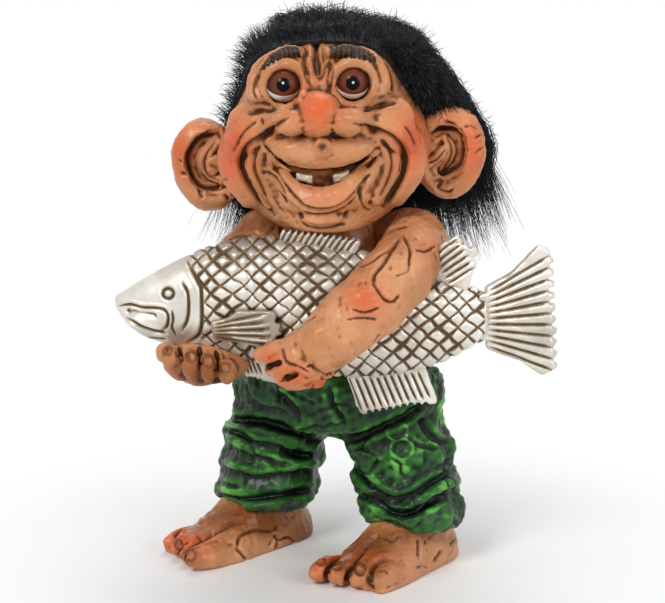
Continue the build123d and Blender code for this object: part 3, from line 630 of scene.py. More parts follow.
def makeEyeGloss():
    look = {
        "pupil": (0.001, 0.001, 0.002, 1),
        "iris": (0.165, 0.040, 0.018, 1),
        "rim": (0.060, 0.016, 0.009, 1),
        "white": (0.80, 0.79, 0.76, 1),
        "glint": (0.85, 0.90, 0.95, 1),
    }
    material, tree, shader = newMaterial("eye_gloss")
    fibre = noise(tree, 1500.0, Detail=4.0, Roughness=0.7)
    ragged = sums(tree, "ADD", mask(tree, "pupil"), sums(tree, "MULTIPLY_ADD", fibre, 0.06, -0.03))

    def ring(value, start, end, first, second):  # one tone inside an angle and another outside
        return ramp(tree, value, [(0.0, first), (start, first), (end, second), (1.0, second)])

    # outside the iris's middle, a dark rim: partly the eye's own dark ring, partly painted shade from the
    # lids
    colour = ring(ragged, 0.2, 0.3, look["iris"], look["rim"])
    below = ring(mask(tree, "iris"), 0.485, 0.5, black, white)  # the white shows under the iris only
    colour = blendColour(tree, below, colour, look["white"])
    colour = blendColour(tree, ring(mask(tree, "pupil"), 0.125, 0.145, white, black), colour, look["pupil"])
    # a painted highlight, fixed on the eye
    colour = blendColour(tree, ring(mask(tree, "glint"), 0.014, 0.03, white, black), colour, look["glint"])
    fill(tree, shader, {
        "Base Color": colour, "Roughness": 0.12, "Specular IOR Level": 0.06, "Coat Weight": 0.08,
        "Coat Roughness": 0.03, "Normal": bump(tree, fibre, 0.05, 0.0001)})
    return material


def makePlain(name, first, second, scale, rough, metal=0.0):
    material, tree, shader = newMaterial(name)
    paint = place(tree, brushwork, First=first, Second=second, Scale=scale)
    fill(tree, shader, {
        "Base Color": paint["Color"], "Roughness": sums(tree, "MULTIPLY_ADD", paint["Patch"], 0.15, rough),
        "Metallic": metal, "Specular IOR Level": 0.25,
        "Normal": grainBump(tree, scale * 6, 0.3, 0.2, 0.0002)})
    return material


skinPaint, trouserPaint, fishSilver = makeSkinPaint(), makeTrouserPaint(), makeFishSilver()
eyeGloss, furStrand = makeEyeGloss(), makeFur()
furUnder = makePlain("hair_under", (0.004, 0.004, 0.005, 1), (0.012, 0.013, 0.014, 1), 260.0, 0.7)
toothPaint = makePlain("tooth_paint", (0.78, 0.73, 0.60, 1), (0.48, 0.39, 0.23, 1), 420.0, 0.2, 0.3)
print("materials made")


# Head

head = {
    "clay": (0.475, 0.5),  # voxel, softening
    "pads": [  # spot, radii, lift, blend, turn
        ((321, 148), (16.0, 5.5, 5.0), -2.6, 2.6, 0),  # the upper lip
        ((293, 122), (4.6, 4.0, 4.0), 1.4, 0.8, 20),  # nose wings
        ((346, 123), (4.6, 4.0, 4.0), 1.4, 0.8, -20),
        ((323, 218), (6.4, 3.6, 2.6), -0.6, 1.0, 0),  # chin
        ((281, 62), (7.0, 3.0, 3.2), -1.4, 2.0, 28),  # brow bones
        ((353, 58), (7.4, 3.0, 3.0), -1.4, 2.0, -14),
    ],
    "rolls": [  # path with radius, lift, blend
        # cheeks
        ([(283, 118, 3.0), (258, 124, 4.6), (238, 145, 5.2), (236, 170, 5.0), (250, 196, 3.6)], -1.2, 2.4),
        # folds beside the mouth
        ([(354, 118, 3.0), (384, 123, 4.6), (406, 142, 5.2), (410, 166, 5.0), (396, 194, 3.6)], -1.2, 2.4),
        ([(262, 148, 2.0), (256, 170, 2.6), (270, 202, 2.2)], -0.4, 1.0),
        ([(386, 148, 2.0), (389, 168, 2.6), (378, 198, 2.2)], -0.4, 1.0),
        ([(272, 160, 1.6), (287, 184, 2.8), (308, 198, 3.7), (323, 200, 3.9), (341, 194, 3.6),
          (358, 178, 2.6), (372, 160, 1.6)], 0.2, 1.0),  # lower lip
        ([(260, 71, 1.0), (271, 59, 1.7), (286, 52, 2.1), (300, 52, 1.6)], 0.3, 0.6),  # brows
        ([(330, 53, 1.7), (346, 51, 2.2), (362, 54, 1.8), (377, 61, 0.9)], 0.3, 0.6),
    ],
    "mouth": [(263.6, 143.5), (274, 154.7), (288, 164.5), (309, 168.7), (323, 168.7), (344, 166),
              (360, 160.3), (372, 153.3), (379, 146.3), (376.5, 149.5), (365, 160.5), (351, 171.5),
              (337, 183), (323, 187.7), (309, 184), (295, 173.5), (281, 163), (267, 149)],
    "mouthBack": -16.8,
    "openings": [((284.3, 86.3), (16.6, 17.4)), ((353.8, 84.4), (17.0, 17.4))],  # round the eyes
    "openingBack": -18.5,
    "lidGap": 4.0,
    "lidRadius": 1.5,
    "lidSet": (0.2, 0.5),  # lift, blend
    "nostrilSet": (0.2, 0.5),
    "nostrils": [((299, 135), (2.0, 0.9, 0.8)), ((339, 136), (2.0, 0.9, 0.8))],
    "shades": [((301, 138), (11, 7), 0.9), ((339, 138), (11, 7), 0.9), ((318, 60), (22, 24), 0.5),
               ((322, 147.5), (8, 8), 0.8), ((262, 102), (16, 7), 0.75), ((378, 101), (18, 7), 0.75),
               ((284, 86), (24, 25), 0.5), ((354, 84), (24, 25), 0.5), ((322, 40), (40, 9), 0.6),
               ((258, 210), (20, 12), 0.6), ((392, 205), (20, 12), 0.6), ((262, 180), (16, 30), 0.45),
               ((390, 180), (16, 30), 0.45)],
    "cuts": [  # path, width, depth
        ([(316, 42), (316.5, 58), (318, 77)], 0.75, 1.5),  # frown lines
        ([(322, 47), (323, 64)], 0.45, 0.8),
        ([(327, 64), (324, 72), (320, 80)], 0.45, 0.8),
        ([(301, 47), (306, 53), (304, 63), (309, 84)], 0.5, 0.9),
        ([(329, 62), (331, 74), (328, 92)], 0.5, 0.9),
        ([(309, 41), (316, 44), (322, 40)], 0.4, 0.6),
        ([(248, 113), (262, 111), (274, 110)], 0.55, 1.1),  # under the eyes
        ([(364, 109), (374, 108), (386, 104), (398, 101)], 0.55, 1.1),
        ([(252, 104), (263, 103), (272, 106)], 0.4, 0.7),
        ([(379, 98), (390, 96), (399, 97)], 0.4, 0.7),
        ([(258, 76), (253, 90), (257, 100)], 0.4, 0.6),
        ([(386, 62), (392, 76), (393, 92)], 0.4, 0.6),
        ([(288, 118), (276, 126), (264, 136), (249, 146), (242, 163), (248, 181), (260, 200), (274, 215)],
         0.75, 1.6),
        ([(263, 143), (254, 154), (254, 169), (261, 186), (271, 208)], 0.6, 1.2),  # folds beside the mouth
        ([(262, 172), (274, 176), (283, 190), (286, 203)], 0.45, 0.9),
        ([(355, 124), (377, 131), (397, 142), (405, 157), (402, 175), (391, 195), (383, 205)], 0.75, 1.6),
        ([(381, 139), (391, 152), (393, 167), (387, 185), (378, 200)], 0.6, 1.2),
        ([(369, 176), (360, 190), (362, 204)], 0.45, 0.8),
        ([(257, 121), (243, 133), (234, 151)], 0.4, 0.6),  # cheek wrinkles
        ([(405, 126), (411, 134), (415, 144)], 0.4, 0.6),
        ([(271, 162), (285, 184), (297, 200), (310, 209.5), (330, 210), (347, 202), (360, 187), (371, 172)],
         0.5, 1.0),
        ([(264, 144.5), (272, 154), (282, 161.5), (290, 166)], 0.35, 0.9),  # corners of the mouth
        ([(379, 147), (371, 155), (363, 160.5), (354, 164.5)], 0.35, 0.9),
        ([(303, 224), (323, 228), (344, 224)], 0.45, 0.7),
        ([(300, 213), (302, 219)], 0.4, 0.5),
        ([(347, 212), (345, 218)], 0.4, 0.5),
    ],
    "dimple": (322.5, 148),
    "dimpleRim": ((2.9, 1.6, 2.9), 0.2, 0.8),  # radii, lift, blend
    "dimplePit": ((1.8, 1.3, 1.8), 0.5, 0.6),
    "browRibs": 10,
    "browCut": (0.32, 0.8),  # width, depth
    "browLines": [([(259, 73), (273, 63), (287, 58), (301, 57)],
                   [(262, 66), (271, 54), (286, 46), (299, 47)]),
                  ([(331, 58), (346, 58.5), (362, 60), (377, 63)],
                   [(330, 46), (347, 43), (363, 47), (376, 57)])],
    "blush": [((232, 148), (20, 36), 1.0), ((413, 140), (18, 36), 0.95), ((318, 108), (24, 24), 0.95),
              ((330, 196), (26, 12), 0.3), ((291, 70), (14, 8), 0.1)],
    "stainAndShade": 0.28,  # painted shade: wash added in the shaded spots
    "marks": {  # how the cuts are made, then scratches and lumps
        "wide": 1.25, "deep": 1.15, "paint": 0.62,
        "scratches": (50, 6.0, 0.55, 0.25, 5, 0.1),  # count, length, width, depth, seed, paint
        "lumps": [(0.2, 9.0, 3), (0.09, 2.6, 4)],  # height, size, seed
    },
}


def makeHead():
    clay = Clay("head", *head["clay"])
    for spot, radii, lift, blend, turn in head["pads"]:
        clay.pad(spot, radii, lift, blend, turn)
    for path, lift, blend in head["rolls"]:
        clay.roll(path, lift, blend)
    clay.carve(head["mouth"], head["mouthBack"])
    ring = [(math.cos(a), math.sin(a)) for a in np.linspace(0, 2 * math.pi, 17)]
    gap, thick = head["lidGap"], head["lidRadius"]
    for (u, v), (wide, tall) in head["openings"]:
        lid = [(u + (wide + gap) * c, v - (tall + gap) * s, thick * (1 + 0.25 * s)) for c, s in ring]
        clay.roll(lid, *head["lidSet"])
        clay.carve([(u + wide * c, v - tall * s) for c, s in ring[:-1]], head["openingBack"])
    for spot, radii in head["nostrils"]:
        clay.pad(spot, radii, *head["nostrilSet"], dig=True)
    clay.pad(head["dimple"], *head["dimpleRim"])
    clay.pad(head["dimple"], *head["dimplePit"], dig=True)
    skin = Skin(clay)
    skin.carve(head["cuts"], head["marks"])
    for lower, upper in head["browLines"]:
        lower, upper = curveThrough(lower), curveThrough(upper)
        for step in np.linspace(0.03, 0.97, head["browRibs"]):
            i = int(step * (len(lower) - 1))
            skin.cut([lower[i], upper[i]], *head["browCut"])
        skin.raiseMask("tone", inside(skin.spots, np.vstack((lower, upper[::-1]))) * (skin.facing > 0))
    skin.roughen(head["marks"])
    skin.settle()
    skin.airbrush(head, head["stainAndShade"])
    finishPiece(skin, "troll_head", skinPaint, "skin_paint", "head")


makeHead()


# Ears

ears = {
    "clay": (0.4, 0.5),
    "bowlSet": (-0.6, 0.8),  # lift, blend
    "rollSet": (0.1, 0.6),
    "marks": {"wide": 0.6, "deep": 1.0, "paint": 0.65, "scratches": (20, 5.0, 0.45, 0.35, 13, 0.3),
              "lumps": [(0.2, 7.0, 11), (0.08, 2.4, 12)]},
    "right_ear": {
        "bowl": [(219, 135, 1.8), (204, 138, 2.2), (193, 150, 2.5), (192, 166, 2.4), (200, 180, 2.2),
                 (214, 185, 1.8)],
        "rolls": [[(218, 142, 1.0), (209, 151, 1.6), (205, 164, 1.7), (210, 175, 1.4), (221, 180, 1.0)],
                  [(216, 158, 1.0), (208, 165, 1.2), (214, 172, 1.0)]],
        "cuts": [[(216, 134), (200, 137), (190, 149), (187, 161), (193, 179), (203, 187), (215, 188),
                  (228, 185)],
                 [(214, 141), (207, 152), (203, 165), (207, 176), (218, 181)], [(181, 173), (187, 174)],
                 [(200, 188), (202, 198)], [(223, 193), (230, 201)]],
        "blush": [((180, 150), (13, 30), 0.75), ((196, 128), (22, 9), 0.35)],
    },
    "left_ear": {
        "bowl": [(431, 137, 1.8), (441, 130, 2.2), (454, 133, 2.5), (459, 146, 2.6), (456, 160, 2.4),
                 (443, 171, 1.8)],
        "rolls": [[(445, 137, 1.0), (450, 147, 1.6), (449, 158, 1.5), (441, 169, 1.1)],
                  [(428, 163, 1.3), (437, 157, 1.5), (446, 148, 1.0)]],
        "cuts": [[(429, 135), (439, 128), (455, 129), (463, 136), (464, 150), (460, 165), (443, 174)],
                 [(447, 135), (452, 147), (451, 159), (442, 172)], [(445, 122), (455, 126)],
                 [(427, 164), (437, 160), (447, 148)], [(441, 181), (438, 189), (448, 193), (454, 188)]],
        "blush": [((473, 150), (13, 32), 0.8), ((455, 122), (20, 9), 0.35)],
    },
}


def makeEar(node):
    look = ears[node]
    clay = Clay(node, *ears["clay"])
    clay.roll(look["bowl"], *ears["bowlSet"], dig=True)
    for path in look["rolls"]:
        clay.roll(path, *ears["rollSet"])
    skin = Skin(clay)
    skin.carve([(path, 1, 1) for path in look["cuts"]], ears["marks"])
    skin.roughen(ears["marks"])
    skin.settle()
    skin.airbrush(look)
    finishPiece(skin, "troll_" + node, skinPaint, "skin_paint", node)


for earNode in ("right_ear", "left_ear"):
    makeEar(earNode)


# Eyes and teeth

eyes = {
    "rings": 48,
    "spokes": 64,
    "cornea": 0.35,
    "corneaWidth": 0.75,
    "right_eye": {"pupil": (283.4, 84.9), "iris": (283.5, 72.5), "glint": (283.0, 83.0)},
    "left_eye": {"pupil": (352.9, 83.4), "iris": (353.4, 70.8), "glint": (353.2, 82.6)},
}


def makeEye(node):
    low, high = (np.array(corner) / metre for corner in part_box(node))
    centre, radius = (low + high) / 2, (high - low).min() / 2
    rings, spokes = eyes["rings"], eyes["spokes"]

    def aim(spot):  # the direction from the eye's centre to what a pixel shows of it
        line = unit(sightLine(spot))
        back = centre - lensPoint
        near = back @ line
        off = math.sqrt(max(radius**2 - (back @ back - near**2), 0.0))
        return unit(lensPoint + line * (near - off) - centre)

    front = aim(eyes[node]["iris"])
    side = unit(np.cross(front, (0, 0, 1.0)))
    up = np.cross(side, front)
    points = []
    for angle in np.linspace(0, math.pi, rings + 1):
        bulge = eyes["cornea"] * bell(angle, eyes["corneaWidth"])
        for s in np.arange(spokes) * 2 * math.pi / spokes:
            out = side * math.cos(s) + up * math.sin(s)
            points.append((front * math.cos(angle) + out * math.sin(angle)) * (radius + bulge))
    points = np.array(points)
    faces = []
    for i in range(0, rings * spokes, spokes):
        for j in range(spokes):
            after = (j + 1) % spokes
            faces.append((i + j, i + spokes + j, i + spokes + after, i + after))
    toward = unit(points)
    angles = {key: np.arccos(np.clip(toward @ aim(spot), -1, 1)) / math.pi for key,
              spot in eyes[node].items()}
    mesh = meshFrom("troll_" + node, points + centre, np.array(faces), angles)
    show("troll_" + node, mesh, eyeGloss, "eye_gloss", node)


for eyeNode in ("right_eye", "left_eye"):
    makeEye(eyeNode)


teeth = {"clay": (0.22, 0.3, 1.5), "lumps": [(0.1, 2.2, 21)]}  # voxel, softening, room; height, size, seed


def makeTeeth():
    skin = Skin(Clay("teeth", *teeth["clay"]))
    skin.roughen(teeth)
    skin.settle()
    finishPiece(skin, "troll_teeth", toothPaint, "tooth_paint", "teeth")


makeTeeth()


# Arms and torso

arms = {
    "clay": (0.42, 0.5),
    "knobBlend": 1.5,
    "gapSet": (-0.5, 0.4),  # lift, blend
    "padSet": (-1.0, 0.4),
    # painted shade: wash added in the shaded spots
    "stainAndShade": 0.45,
    "marks": {"wide": 1.2, "deep": 1.3, "paint": 0.65, "scratches": (28, 7.0, 0.6, 0.3, 33, 0.08),
              "lumps": [(0.3, 10.0, 31), (0.1, 2.8, 32)]},
    "left_arm": {
        "rolls": [([(352, 296, 3.0), (362, 300, 3.6), (374, 300, 3.0)], -2.0, 2.0),  # elbow knob
                  ([(300, 366, 1.6), (309, 371, 1.7)], 0.0, 0.8),
                  ([(327, 374, 1.6), (335, 376, 1.6)], 0.0, 0.8)],
        "cuts": [([(399, 240), (391, 250), (385, 261), (375, 274), (373, 284)], 0.5, 0.9),
                 ([(394, 245), (376, 259), (354, 268)], 0.4, 0.6),
                 ([(403, 236), (410, 251), (409, 264)], 0.4, 0.7),
                 ([(415, 250), (426, 251), (436, 246)], 0.4, 0.6),
                 ([(374, 285), (386, 300), (394, 302), (399, 295)], 0.4, 0.7),
                 ([(347, 320), (360, 318), (376, 320)], 0.35, 0.45),
                 ([(352, 309), (366, 313), (380, 308)], 0.35, 0.4),
                 ([(408, 225), (396, 228), (380, 238)], 0.4, 0.5),
                 ([(282, 349), (286, 362), (297, 366), (310, 373)], 0.45, 0.7),
                 ([(266, 368), (281, 362)], 0.6, 1.2), ([(285, 379), (297, 374)], 0.6, 1.2),
                 ([(304, 388), (314, 383)], 0.6, 1.2), ([(306, 367), (311, 366), (315, 370)], 0.35, 0.6),
                 ([(325, 377), (330, 374), (335, 377)], 0.35, 0.6)],
        "blush": [((364, 299), (20, 17), 0.8), ((272, 360), (14, 12), 0.8), ((292, 376), (20, 11), 0.85),
                  ((318, 384), (22, 8), 0.8), ((348, 270), (14, 14), 0.25), ((430, 245), (14, 12), 0.2)],
        "nails": [],
        "knob": ((32.0, 1.9, 103.7), 3.1),  # shoulder bone over the pin's end
        "shades": [((352, 264), (20, 9), 0.5), ((398, 246), (9, 14), 0.4), ((438, 270), (9, 30), 0.4)],
        "gaps": [[(262, 370, 0.4), (271, 366.5, 0.75), (281, 361.5, 0.4)],
                 [(281, 382, 0.4), (289, 378, 0.75), (298, 373.5, 0.4)],
                 [(302, 390, 0.4), (308, 386.5, 0.7), (315, 382, 0.4)]],
        "pads": [],
    },
    "right_arm": {
        "rolls": [],
        "knob": ((-32.4, 9.9, 102.0), 3.1),
        "gaps": [[(179.5, 345, 0.7), (181, 358, 1.0), (182, 372, 1.1), (183, 389, 1.3)],
                 [(199, 348, 0.7), (200, 362, 1.0), (200.5, 377, 1.1), (201, 393, 1.3)],
                 [(216, 352, 0.7), (217, 366, 1.0), (217.5, 380, 1.1), (218, 395, 1.3)]],
        "pads": [((171, 357), (2.5, 2.6, 3.6)), ((190.5, 364), (2.6, 2.8, 4.2)),
                 ((208.5, 369), (2.5, 2.8, 4.2)), ((226, 372), (2.5, 2.6, 3.7))],
        "cuts": [([(226, 240), (240, 236), (262, 240)], 0.4, 0.6), ([(178, 351), (181, 360)], 0.6, 1.2),
                 ([(199, 352), (201, 366)], 0.6, 1.2), ([(216, 356), (218, 371)], 0.6, 1.2)],
        "blush": [((192, 366), (34, 9), 0.35)],
        "shades": [((205, 374), (44, 22), 0.8), ((238, 228), (26, 18), 0.7)],
        "nails": [((168, 351), 1.5), ((191, 357), 1.9), ((208.5, 362), 1.9), ((225, 368), 1.6)],
    },
}


def pressNail(skin, spot, size):  # a dark nail with a raised rim
    far = np.linalg.norm(skin.spots - np.asarray(spot), axis=1) * pixelSize / size
    gate = clamp(skin.facing * 3) * (far < 3)
    skin.push += (0.35 * bell(far - 1.1, 0.25) - 0.45 * np.exp(-((far / 0.75) ** 4))) * gate
    skin.raiseMask("wash", (0.75 * bell(far - 0.85, 0.3) + 0.12 * np.exp(-((far / 0.8) ** 4))) * gate)


def makeArm(node):
    look = arms[node]
    clay = Clay(node, *arms["clay"])
    for path, lift, blend in look["rolls"]:
        clay.roll(path, lift, blend)
    centre, radius = look["knob"]
    clay.blob(centre, (radius,) * 3, arms["knobBlend"])
    for path in look["gaps"]:
        clay.roll(path, *arms["gapSet"], dig=True)
    for spot, radii in look["pads"]:
        clay.pad(spot, radii, *arms["padSet"])
    skin = Skin(clay)
    skin.carve(look["cuts"], arms["marks"])
    for spot, size in look["nails"]:
        pressNail(skin, spot, size)
    skin.roughen(arms["marks"])
    skin.settle()
    skin.airbrush(look, arms["stainAndShade"])
    finishPiece(skin, "troll_" + node, skinPaint, "skin_paint", node)


for armNode in ("right_arm", "left_arm"):
    makeArm(armNode)


torso = {
    "clay": (0.6, 0.8),
    "cuts": [  # the spine, the shoulder blades and the belt, on the back
        [(329, 228), (330, 262), (328, 300), (329, 340)],
        [(312, 240), (300, 262), (306, 284)],
        [(346, 240), (358, 262), (352, 284)],
        [(300, 320), (329, 326), (358, 320)],
    ],
    "marks": {"wide": 1.8, "deep": 0.9, "paint": 0.12, "side": -1,
              "scratches": (40, 9.0, 0.7, 0.35, 43, 0.08), "lumps": [(0.45, 12.0, 41), (0.1, 3.0, 42)]},
}


def makeTorso():
    skin = Skin(Clay("torso", *torso["clay"]))
    skin.carve([(path, 1, 1) for path in torso["cuts"]], torso["marks"])
    skin.roughen(torso["marks"])
    skin.settle()
    finishPiece(skin, "troll_torso", skinPaint, "skin_paint", "torso")


makeTorso()


# Feet

feet = {
    "clay": (0.42, 0.6),
    "soleEdge": 0.8,  # even below this height
    "gain": 2.6,
    # painted shade: wash added in the shaded spots
    "stainAndShade": 0.5,
    "marks": {"wide": 1.3, "deep": 1.4, "paint": 0.8, "scratches": (22, 6.0, 0.6, 0.3, 53, 0.1),
              "lumps": [(0.3, 8.0, 51), (0.1, 2.6, 52)]},
    "right_foot": {
        "cuts": [([(178, 556), (190, 546), (201, 540), (224, 528), (240, 520)], 0.6, 1.2),
                 ([(172, 540), (182, 527), (193, 519), (216, 511)], 0.5, 0.9),
                 ([(176, 532), (190, 524), (205, 522)], 0.4, 0.6),
                 ([(238, 549), (241, 536), (256, 531), (272, 532), (280, 524)], 0.4, 0.7),
                 ([(238, 549), (247, 561)], 0.4, 0.7),
                 ([(274, 534), (278, 543), (270, 556), (250, 563)], 0.4, 0.7),
                 ([(196, 536), (206, 537), (212, 530)], 0.35, 0.5),
                 ([(279, 541), (290, 538), (296, 546)], 0.35, 0.5), ([(179, 556), (181, 566)], 0.5, 0.9)],
        "blush": [((186, 538), (28, 20), 1.0), ((225, 522), (26, 14), 0.45)],
        "nails": [((190.5, 555.5), 1.9), ((179, 545), 1.5)],
        "shades": [((236, 517), (46, 18), 1.0), ((264, 524), (30, 15), 0.95), ((302, 535), (22, 16), 0.65),
                   ((198, 528), (22, 10), 0.6), ((185, 562), (18, 7), 0.5)],
    },
    "left_foot": {
        "cuts": [([(327, 582), (329, 568), (344, 549), (368, 533)], 0.6, 1.3),
                 ([(347, 594), (348, 576), (362, 551), (377, 535)], 0.6, 1.3),
                 ([(373, 594), (370, 578), (377, 563), (391, 559)], 0.6, 1.2),
                 ([(419, 539), (418, 557)], 0.4, 0.7), ([(442, 551), (433, 562)], 0.4, 0.7),
                 ([(457, 538), (450, 546)], 0.35, 0.6), ([(381, 536), (392, 541), (398, 535)], 0.35, 0.5),
                 ([(376, 572), (384, 570), (388, 574)], 0.35, 0.6)],
        "blush": [((336, 558), (28, 20), 1.0), ((368, 556), (26, 16), 0.75)],
        "nails": [((321, 562), 1.5), ((336.5, 566), 1.8), ((360, 570), 2.0)],
        "shades": [((370, 544), (36, 15), 1.0), ((396, 537), (26, 10), 0.85), ((346, 566), (20, 12), 0.7),
                   ((425, 538), (40, 8), 0.6), ((376, 572), (12, 14), 0.6)],
    },
}


def makeFoot(node):
    look = feet[node]
    skin = Skin(Clay(node, *feet["clay"]))
    skin.carve(look["cuts"], feet["marks"])
    for spot, size in look["nails"]:
        pressNail(skin, spot, size)
    skin.roughen(feet["marks"], clamp(skin.points[:, 2] - feet["soleEdge"]))
    skin.settle(gain=feet["gain"])
    skin.points[:, 2] = np.maximum(skin.points[:, 2], 0.0)
    skin.airbrush(look, feet["stainAndShade"])
    finishPiece(skin, "troll_" + node, skinPaint, "skin_paint", node)


for footNode in ("right_foot", "left_foot"):
    makeFoot(footNode)


# Trousers

trousers = {
    "clay": (0.55, 1.6),
    "marks": {"wide": 1, "deep": 1, "lip": 0.5, "paint": 1.0, "scratches": (120, 9.0, 0.6, 0.5, 66, 0.6),
              "lumps": [(0.55, 9.0, 63), (0.25, 3.6, 64)]},
    "legs": [(-22.7, 25.5), (25.3, 4.5)],
    "foldPitch": 9.0,
    "foldDepth": 1.1,
    "foldsBelow": 66.0,
    "cuts": [([(223, 413), (238, 420), (259, 422), (286, 429), (314, 440)], 1.1, 1.8),
             ([(213, 429), (236, 432), (252, 443), (275, 448), (300, 456), (315, 455)], 1.1, 1.9),
             ([(218, 466), (236, 474), (259, 479), (293, 475), (313, 470)], 1.1, 1.8),
             ([(212, 493), (232, 499), (259, 498), (293, 493), (314, 490)], 1.1, 1.8),
             ([(350, 441), (379, 429), (405, 416), (426, 404)], 1.1, 1.8),
             ([(353, 466), (361, 477), (379, 493), (396, 500), (414, 495), (430, 484), (455, 470)], 1.1, 1.9),
             ([(359, 493), (379, 502), (395, 513), (414, 511), (432, 502), (454, 491)], 1.1, 1.8),
             ([(243, 380), (250, 396), (262, 408), (285, 412)], 0.9, 1.2),
             ([(272, 392), (288, 402), (300, 420)], 0.9, 1.2),
             ([(330, 390), (334, 408), (345, 424)], 0.9, 1.2),
             ([(420, 420), (432, 436), (444, 446)], 0.9, 1.2)],
    "patches": [((397, 431), 10), ((402, 449), 11), ((409, 516), 10)],
    "patchRim": (0.6, 0.9),  # width, height
    "patchSquash": 0.9,
    "greens": [((275, 399), (12, 12)), ((302, 421), (14, 10)), ((340, 415), (10, 12)), ((268, 463), (20, 8)),
               ((240, 492), (16, 6)), ((240, 426), (14, 7)), ((236, 444), (18, 5)), ((373, 474), (10, 12)),
               ((398, 470), (20, 14)), ((443, 408), (6, 14)), ((434, 508), (18, 7)), ((454, 490), (8, 8)),
               ((420, 440), (9, 14)), ((330, 434), (22, 5)), ((376, 512), (14, 7))],
}


def patchShape(size):  # half the width and height of a round patch, in pixels
    return np.array((size, size * trousers["patchSquash"]))


def makeTrousers():
    skin = Skin(Clay("trousers", *trousers["clay"]))
    legs = np.array(trousers["legs"])
    away = np.linalg.norm(skin.points[:, None, :2] - legs, axis=2)
    leg = np.argmin(away, axis=1)
    across = skin.points[:, :2] - legs[leg]
    angle = np.arctan2(across[:, 1], across[:, 0]) + leg * 1.7
    height = skin.points[:, 2] / trousers["foldPitch"]
    phase = (height + 0.32 * np.sin(angle + 0.6) + 0.2 * np.sin(2 * angle + leg)
             + 0.3 * lumps(skin.points, 26.0, 61))
    rolls = np.abs(np.sin(math.pi * phase)) ** 0.6
    strength = 0.75 + 0.4 * lumps(skin.points, 18.0, 62)
    back = np.clip(0.55 - skin.facing * 1.3, 0.12, 1)  # the front's folds are drawn below
    below = clamp((trousers["foldsBelow"] - skin.points[:, 2]) / 8)
    skin.push += trousers["foldDepth"] * (rolls - 0.75) * strength * back * below
    skin.carve(trousers["cuts"], trousers["marks"])
    for spot, size in trousers["patches"]:
        ring = np.linspace(0, 2 * math.pi, 13)
        circle = np.stack((np.cos(ring), np.sin(ring)), 1) * patchShape(size) + spot
        skin.ridge(circle, *trousers["patchRim"])
    skin.roughen(trousers["marks"])
    skin.settle(rounds=14, gain=2.2)
    skin.masks["tone"] = clamp(lumps(skin.points, 12.0, 65) * 1.8) * np.clip(0.9 - skin.facing, 0.25, 1)
    for spot, radii in trousers["greens"]:
        skin.spotMask("tone", spot, radii)
    for spot, size in trousers["patches"]:
        far = np.linalg.norm((skin.spots - np.asarray(spot)) / patchShape(size), axis=1)
        ring = bell(far - 1, 0.14) * (skin.facing > 0)
        skin.masks["tone"] = np.where((far < 1) & (skin.facing > 0), 0.25,
                                      np.maximum(skin.masks["tone"], ring))
    finishPiece(skin, "troll_trousers", trouserPaint, "trouser_paint", "trousers")


makeTrousers()


# Fish

fish = {
    "clay": (0.39, 0.5),
    "finClay": (0.3, 0.5, 2.5),  # voxel, softening, room
    "gain": 2.5,
    "marks": {"wide": 1, "deep": 1, "paint": 1.0, "side": 0},
    "tongue": ((150, 319), (7.5, 4.5, 4.0), -4.0, 1.0),  # between the jaws
    "scalePitch": 12.5,  # pixels between scale lines
    "scaleSlope": 42.0,
    "scaleStart": [(188, 262), (196, 277), (202, 290), (203, 306), (203, 324), (200, 338)],
    "scaleEnd": 486,
    "grooveWidth": 0.54,
    "grooveDepth": 0.6,
    "shades": [((238, 250), (62, 18), 0.95), ((318, 262), (44, 18), 0.85), ((162, 300), (34, 26), 0.22),
               # spot, radii, strength
               ((186, 335), (26, 9), 0.6), ((140, 336), (26, 6), 0.5), ((436, 280), (36, 12), 0.45),
               ((250, 345), (30, 14), 0.5)],
    "pillow": 0.25,
    "cuts": [([(187, 262), (195, 276), (200.5, 289), (201.5, 306), (201.5, 324), (198, 336), (188, 342)], 0.6,
              0.9),
             ([(182.5, 283), (187, 292), (188.5, 306), (187, 320), (182, 331)], 0.5, 0.8),
             ([(119, 306), (130, 304.5), (141, 307.5), (154, 308), (164, 310), (168, 317), (167, 326),
               (163, 330)], 0.45, 0.9),
             ([(127, 318), (140, 326.5), (154, 331.5), (165, 333)], 0.55, 1.1),
             ([(172, 311), (173, 320), (172, 328), (176, 336)], 0.4, 0.5),
             ([(139, 339), (152, 338), (166, 339)], 0.35, 0.4)],
    "eye": ((168, 293.5), 1.6),
    "fins": {
        "fish_tail_fin": {"root": [(489, 291), (489, 347)], "tip": [(549, 256), (554, 371)], "ribs": 10,
                          "width": 0.5, "half": 2.0, "notch": 1.0, "shade": 0.15},
        "fish_dorsal_fin": {"root": [(274, 243), (345, 254)], "tip": [(287, 217), (361, 232)], "ribs": 12,
                            "width": 0.42, "half": 1.4, "notch": 0.6, "shade": 0.35},
        "fish_adipose_fin": {"root": [(430, 252), (448, 284)], "tip": [(454, 232), (474, 268)], "ribs": 6,
                             "width": 0.4, "half": 1.4, "notch": 0.7, "shade": 0.1},
        "fish_anal_fin": {"root": [(348, 377), (418, 372)], "tip": [(362, 412), (430, 398)], "ribs": 10,
                          "width": 0.42, "half": 1.4, "notch": 0.8, "shade": 0.1},
        "fish_pelvic_fin": {"root": [(232, 352), (252, 352)], "tip": [(240, 374), (262, 374)], "ribs": 5,
                            "width": 0.35, "half": 1.4, "notch": 0.6, "shade": 0.35},
        "fish_pectoral_fin": {"root": [(212, 325), (216, 341)], "tip": [(266, 314), (272, 354)], "ribs": 5,
                              "width": 0.5, "half": 1.4, "notch": 0.9, "shade": 0.72},
    },
}


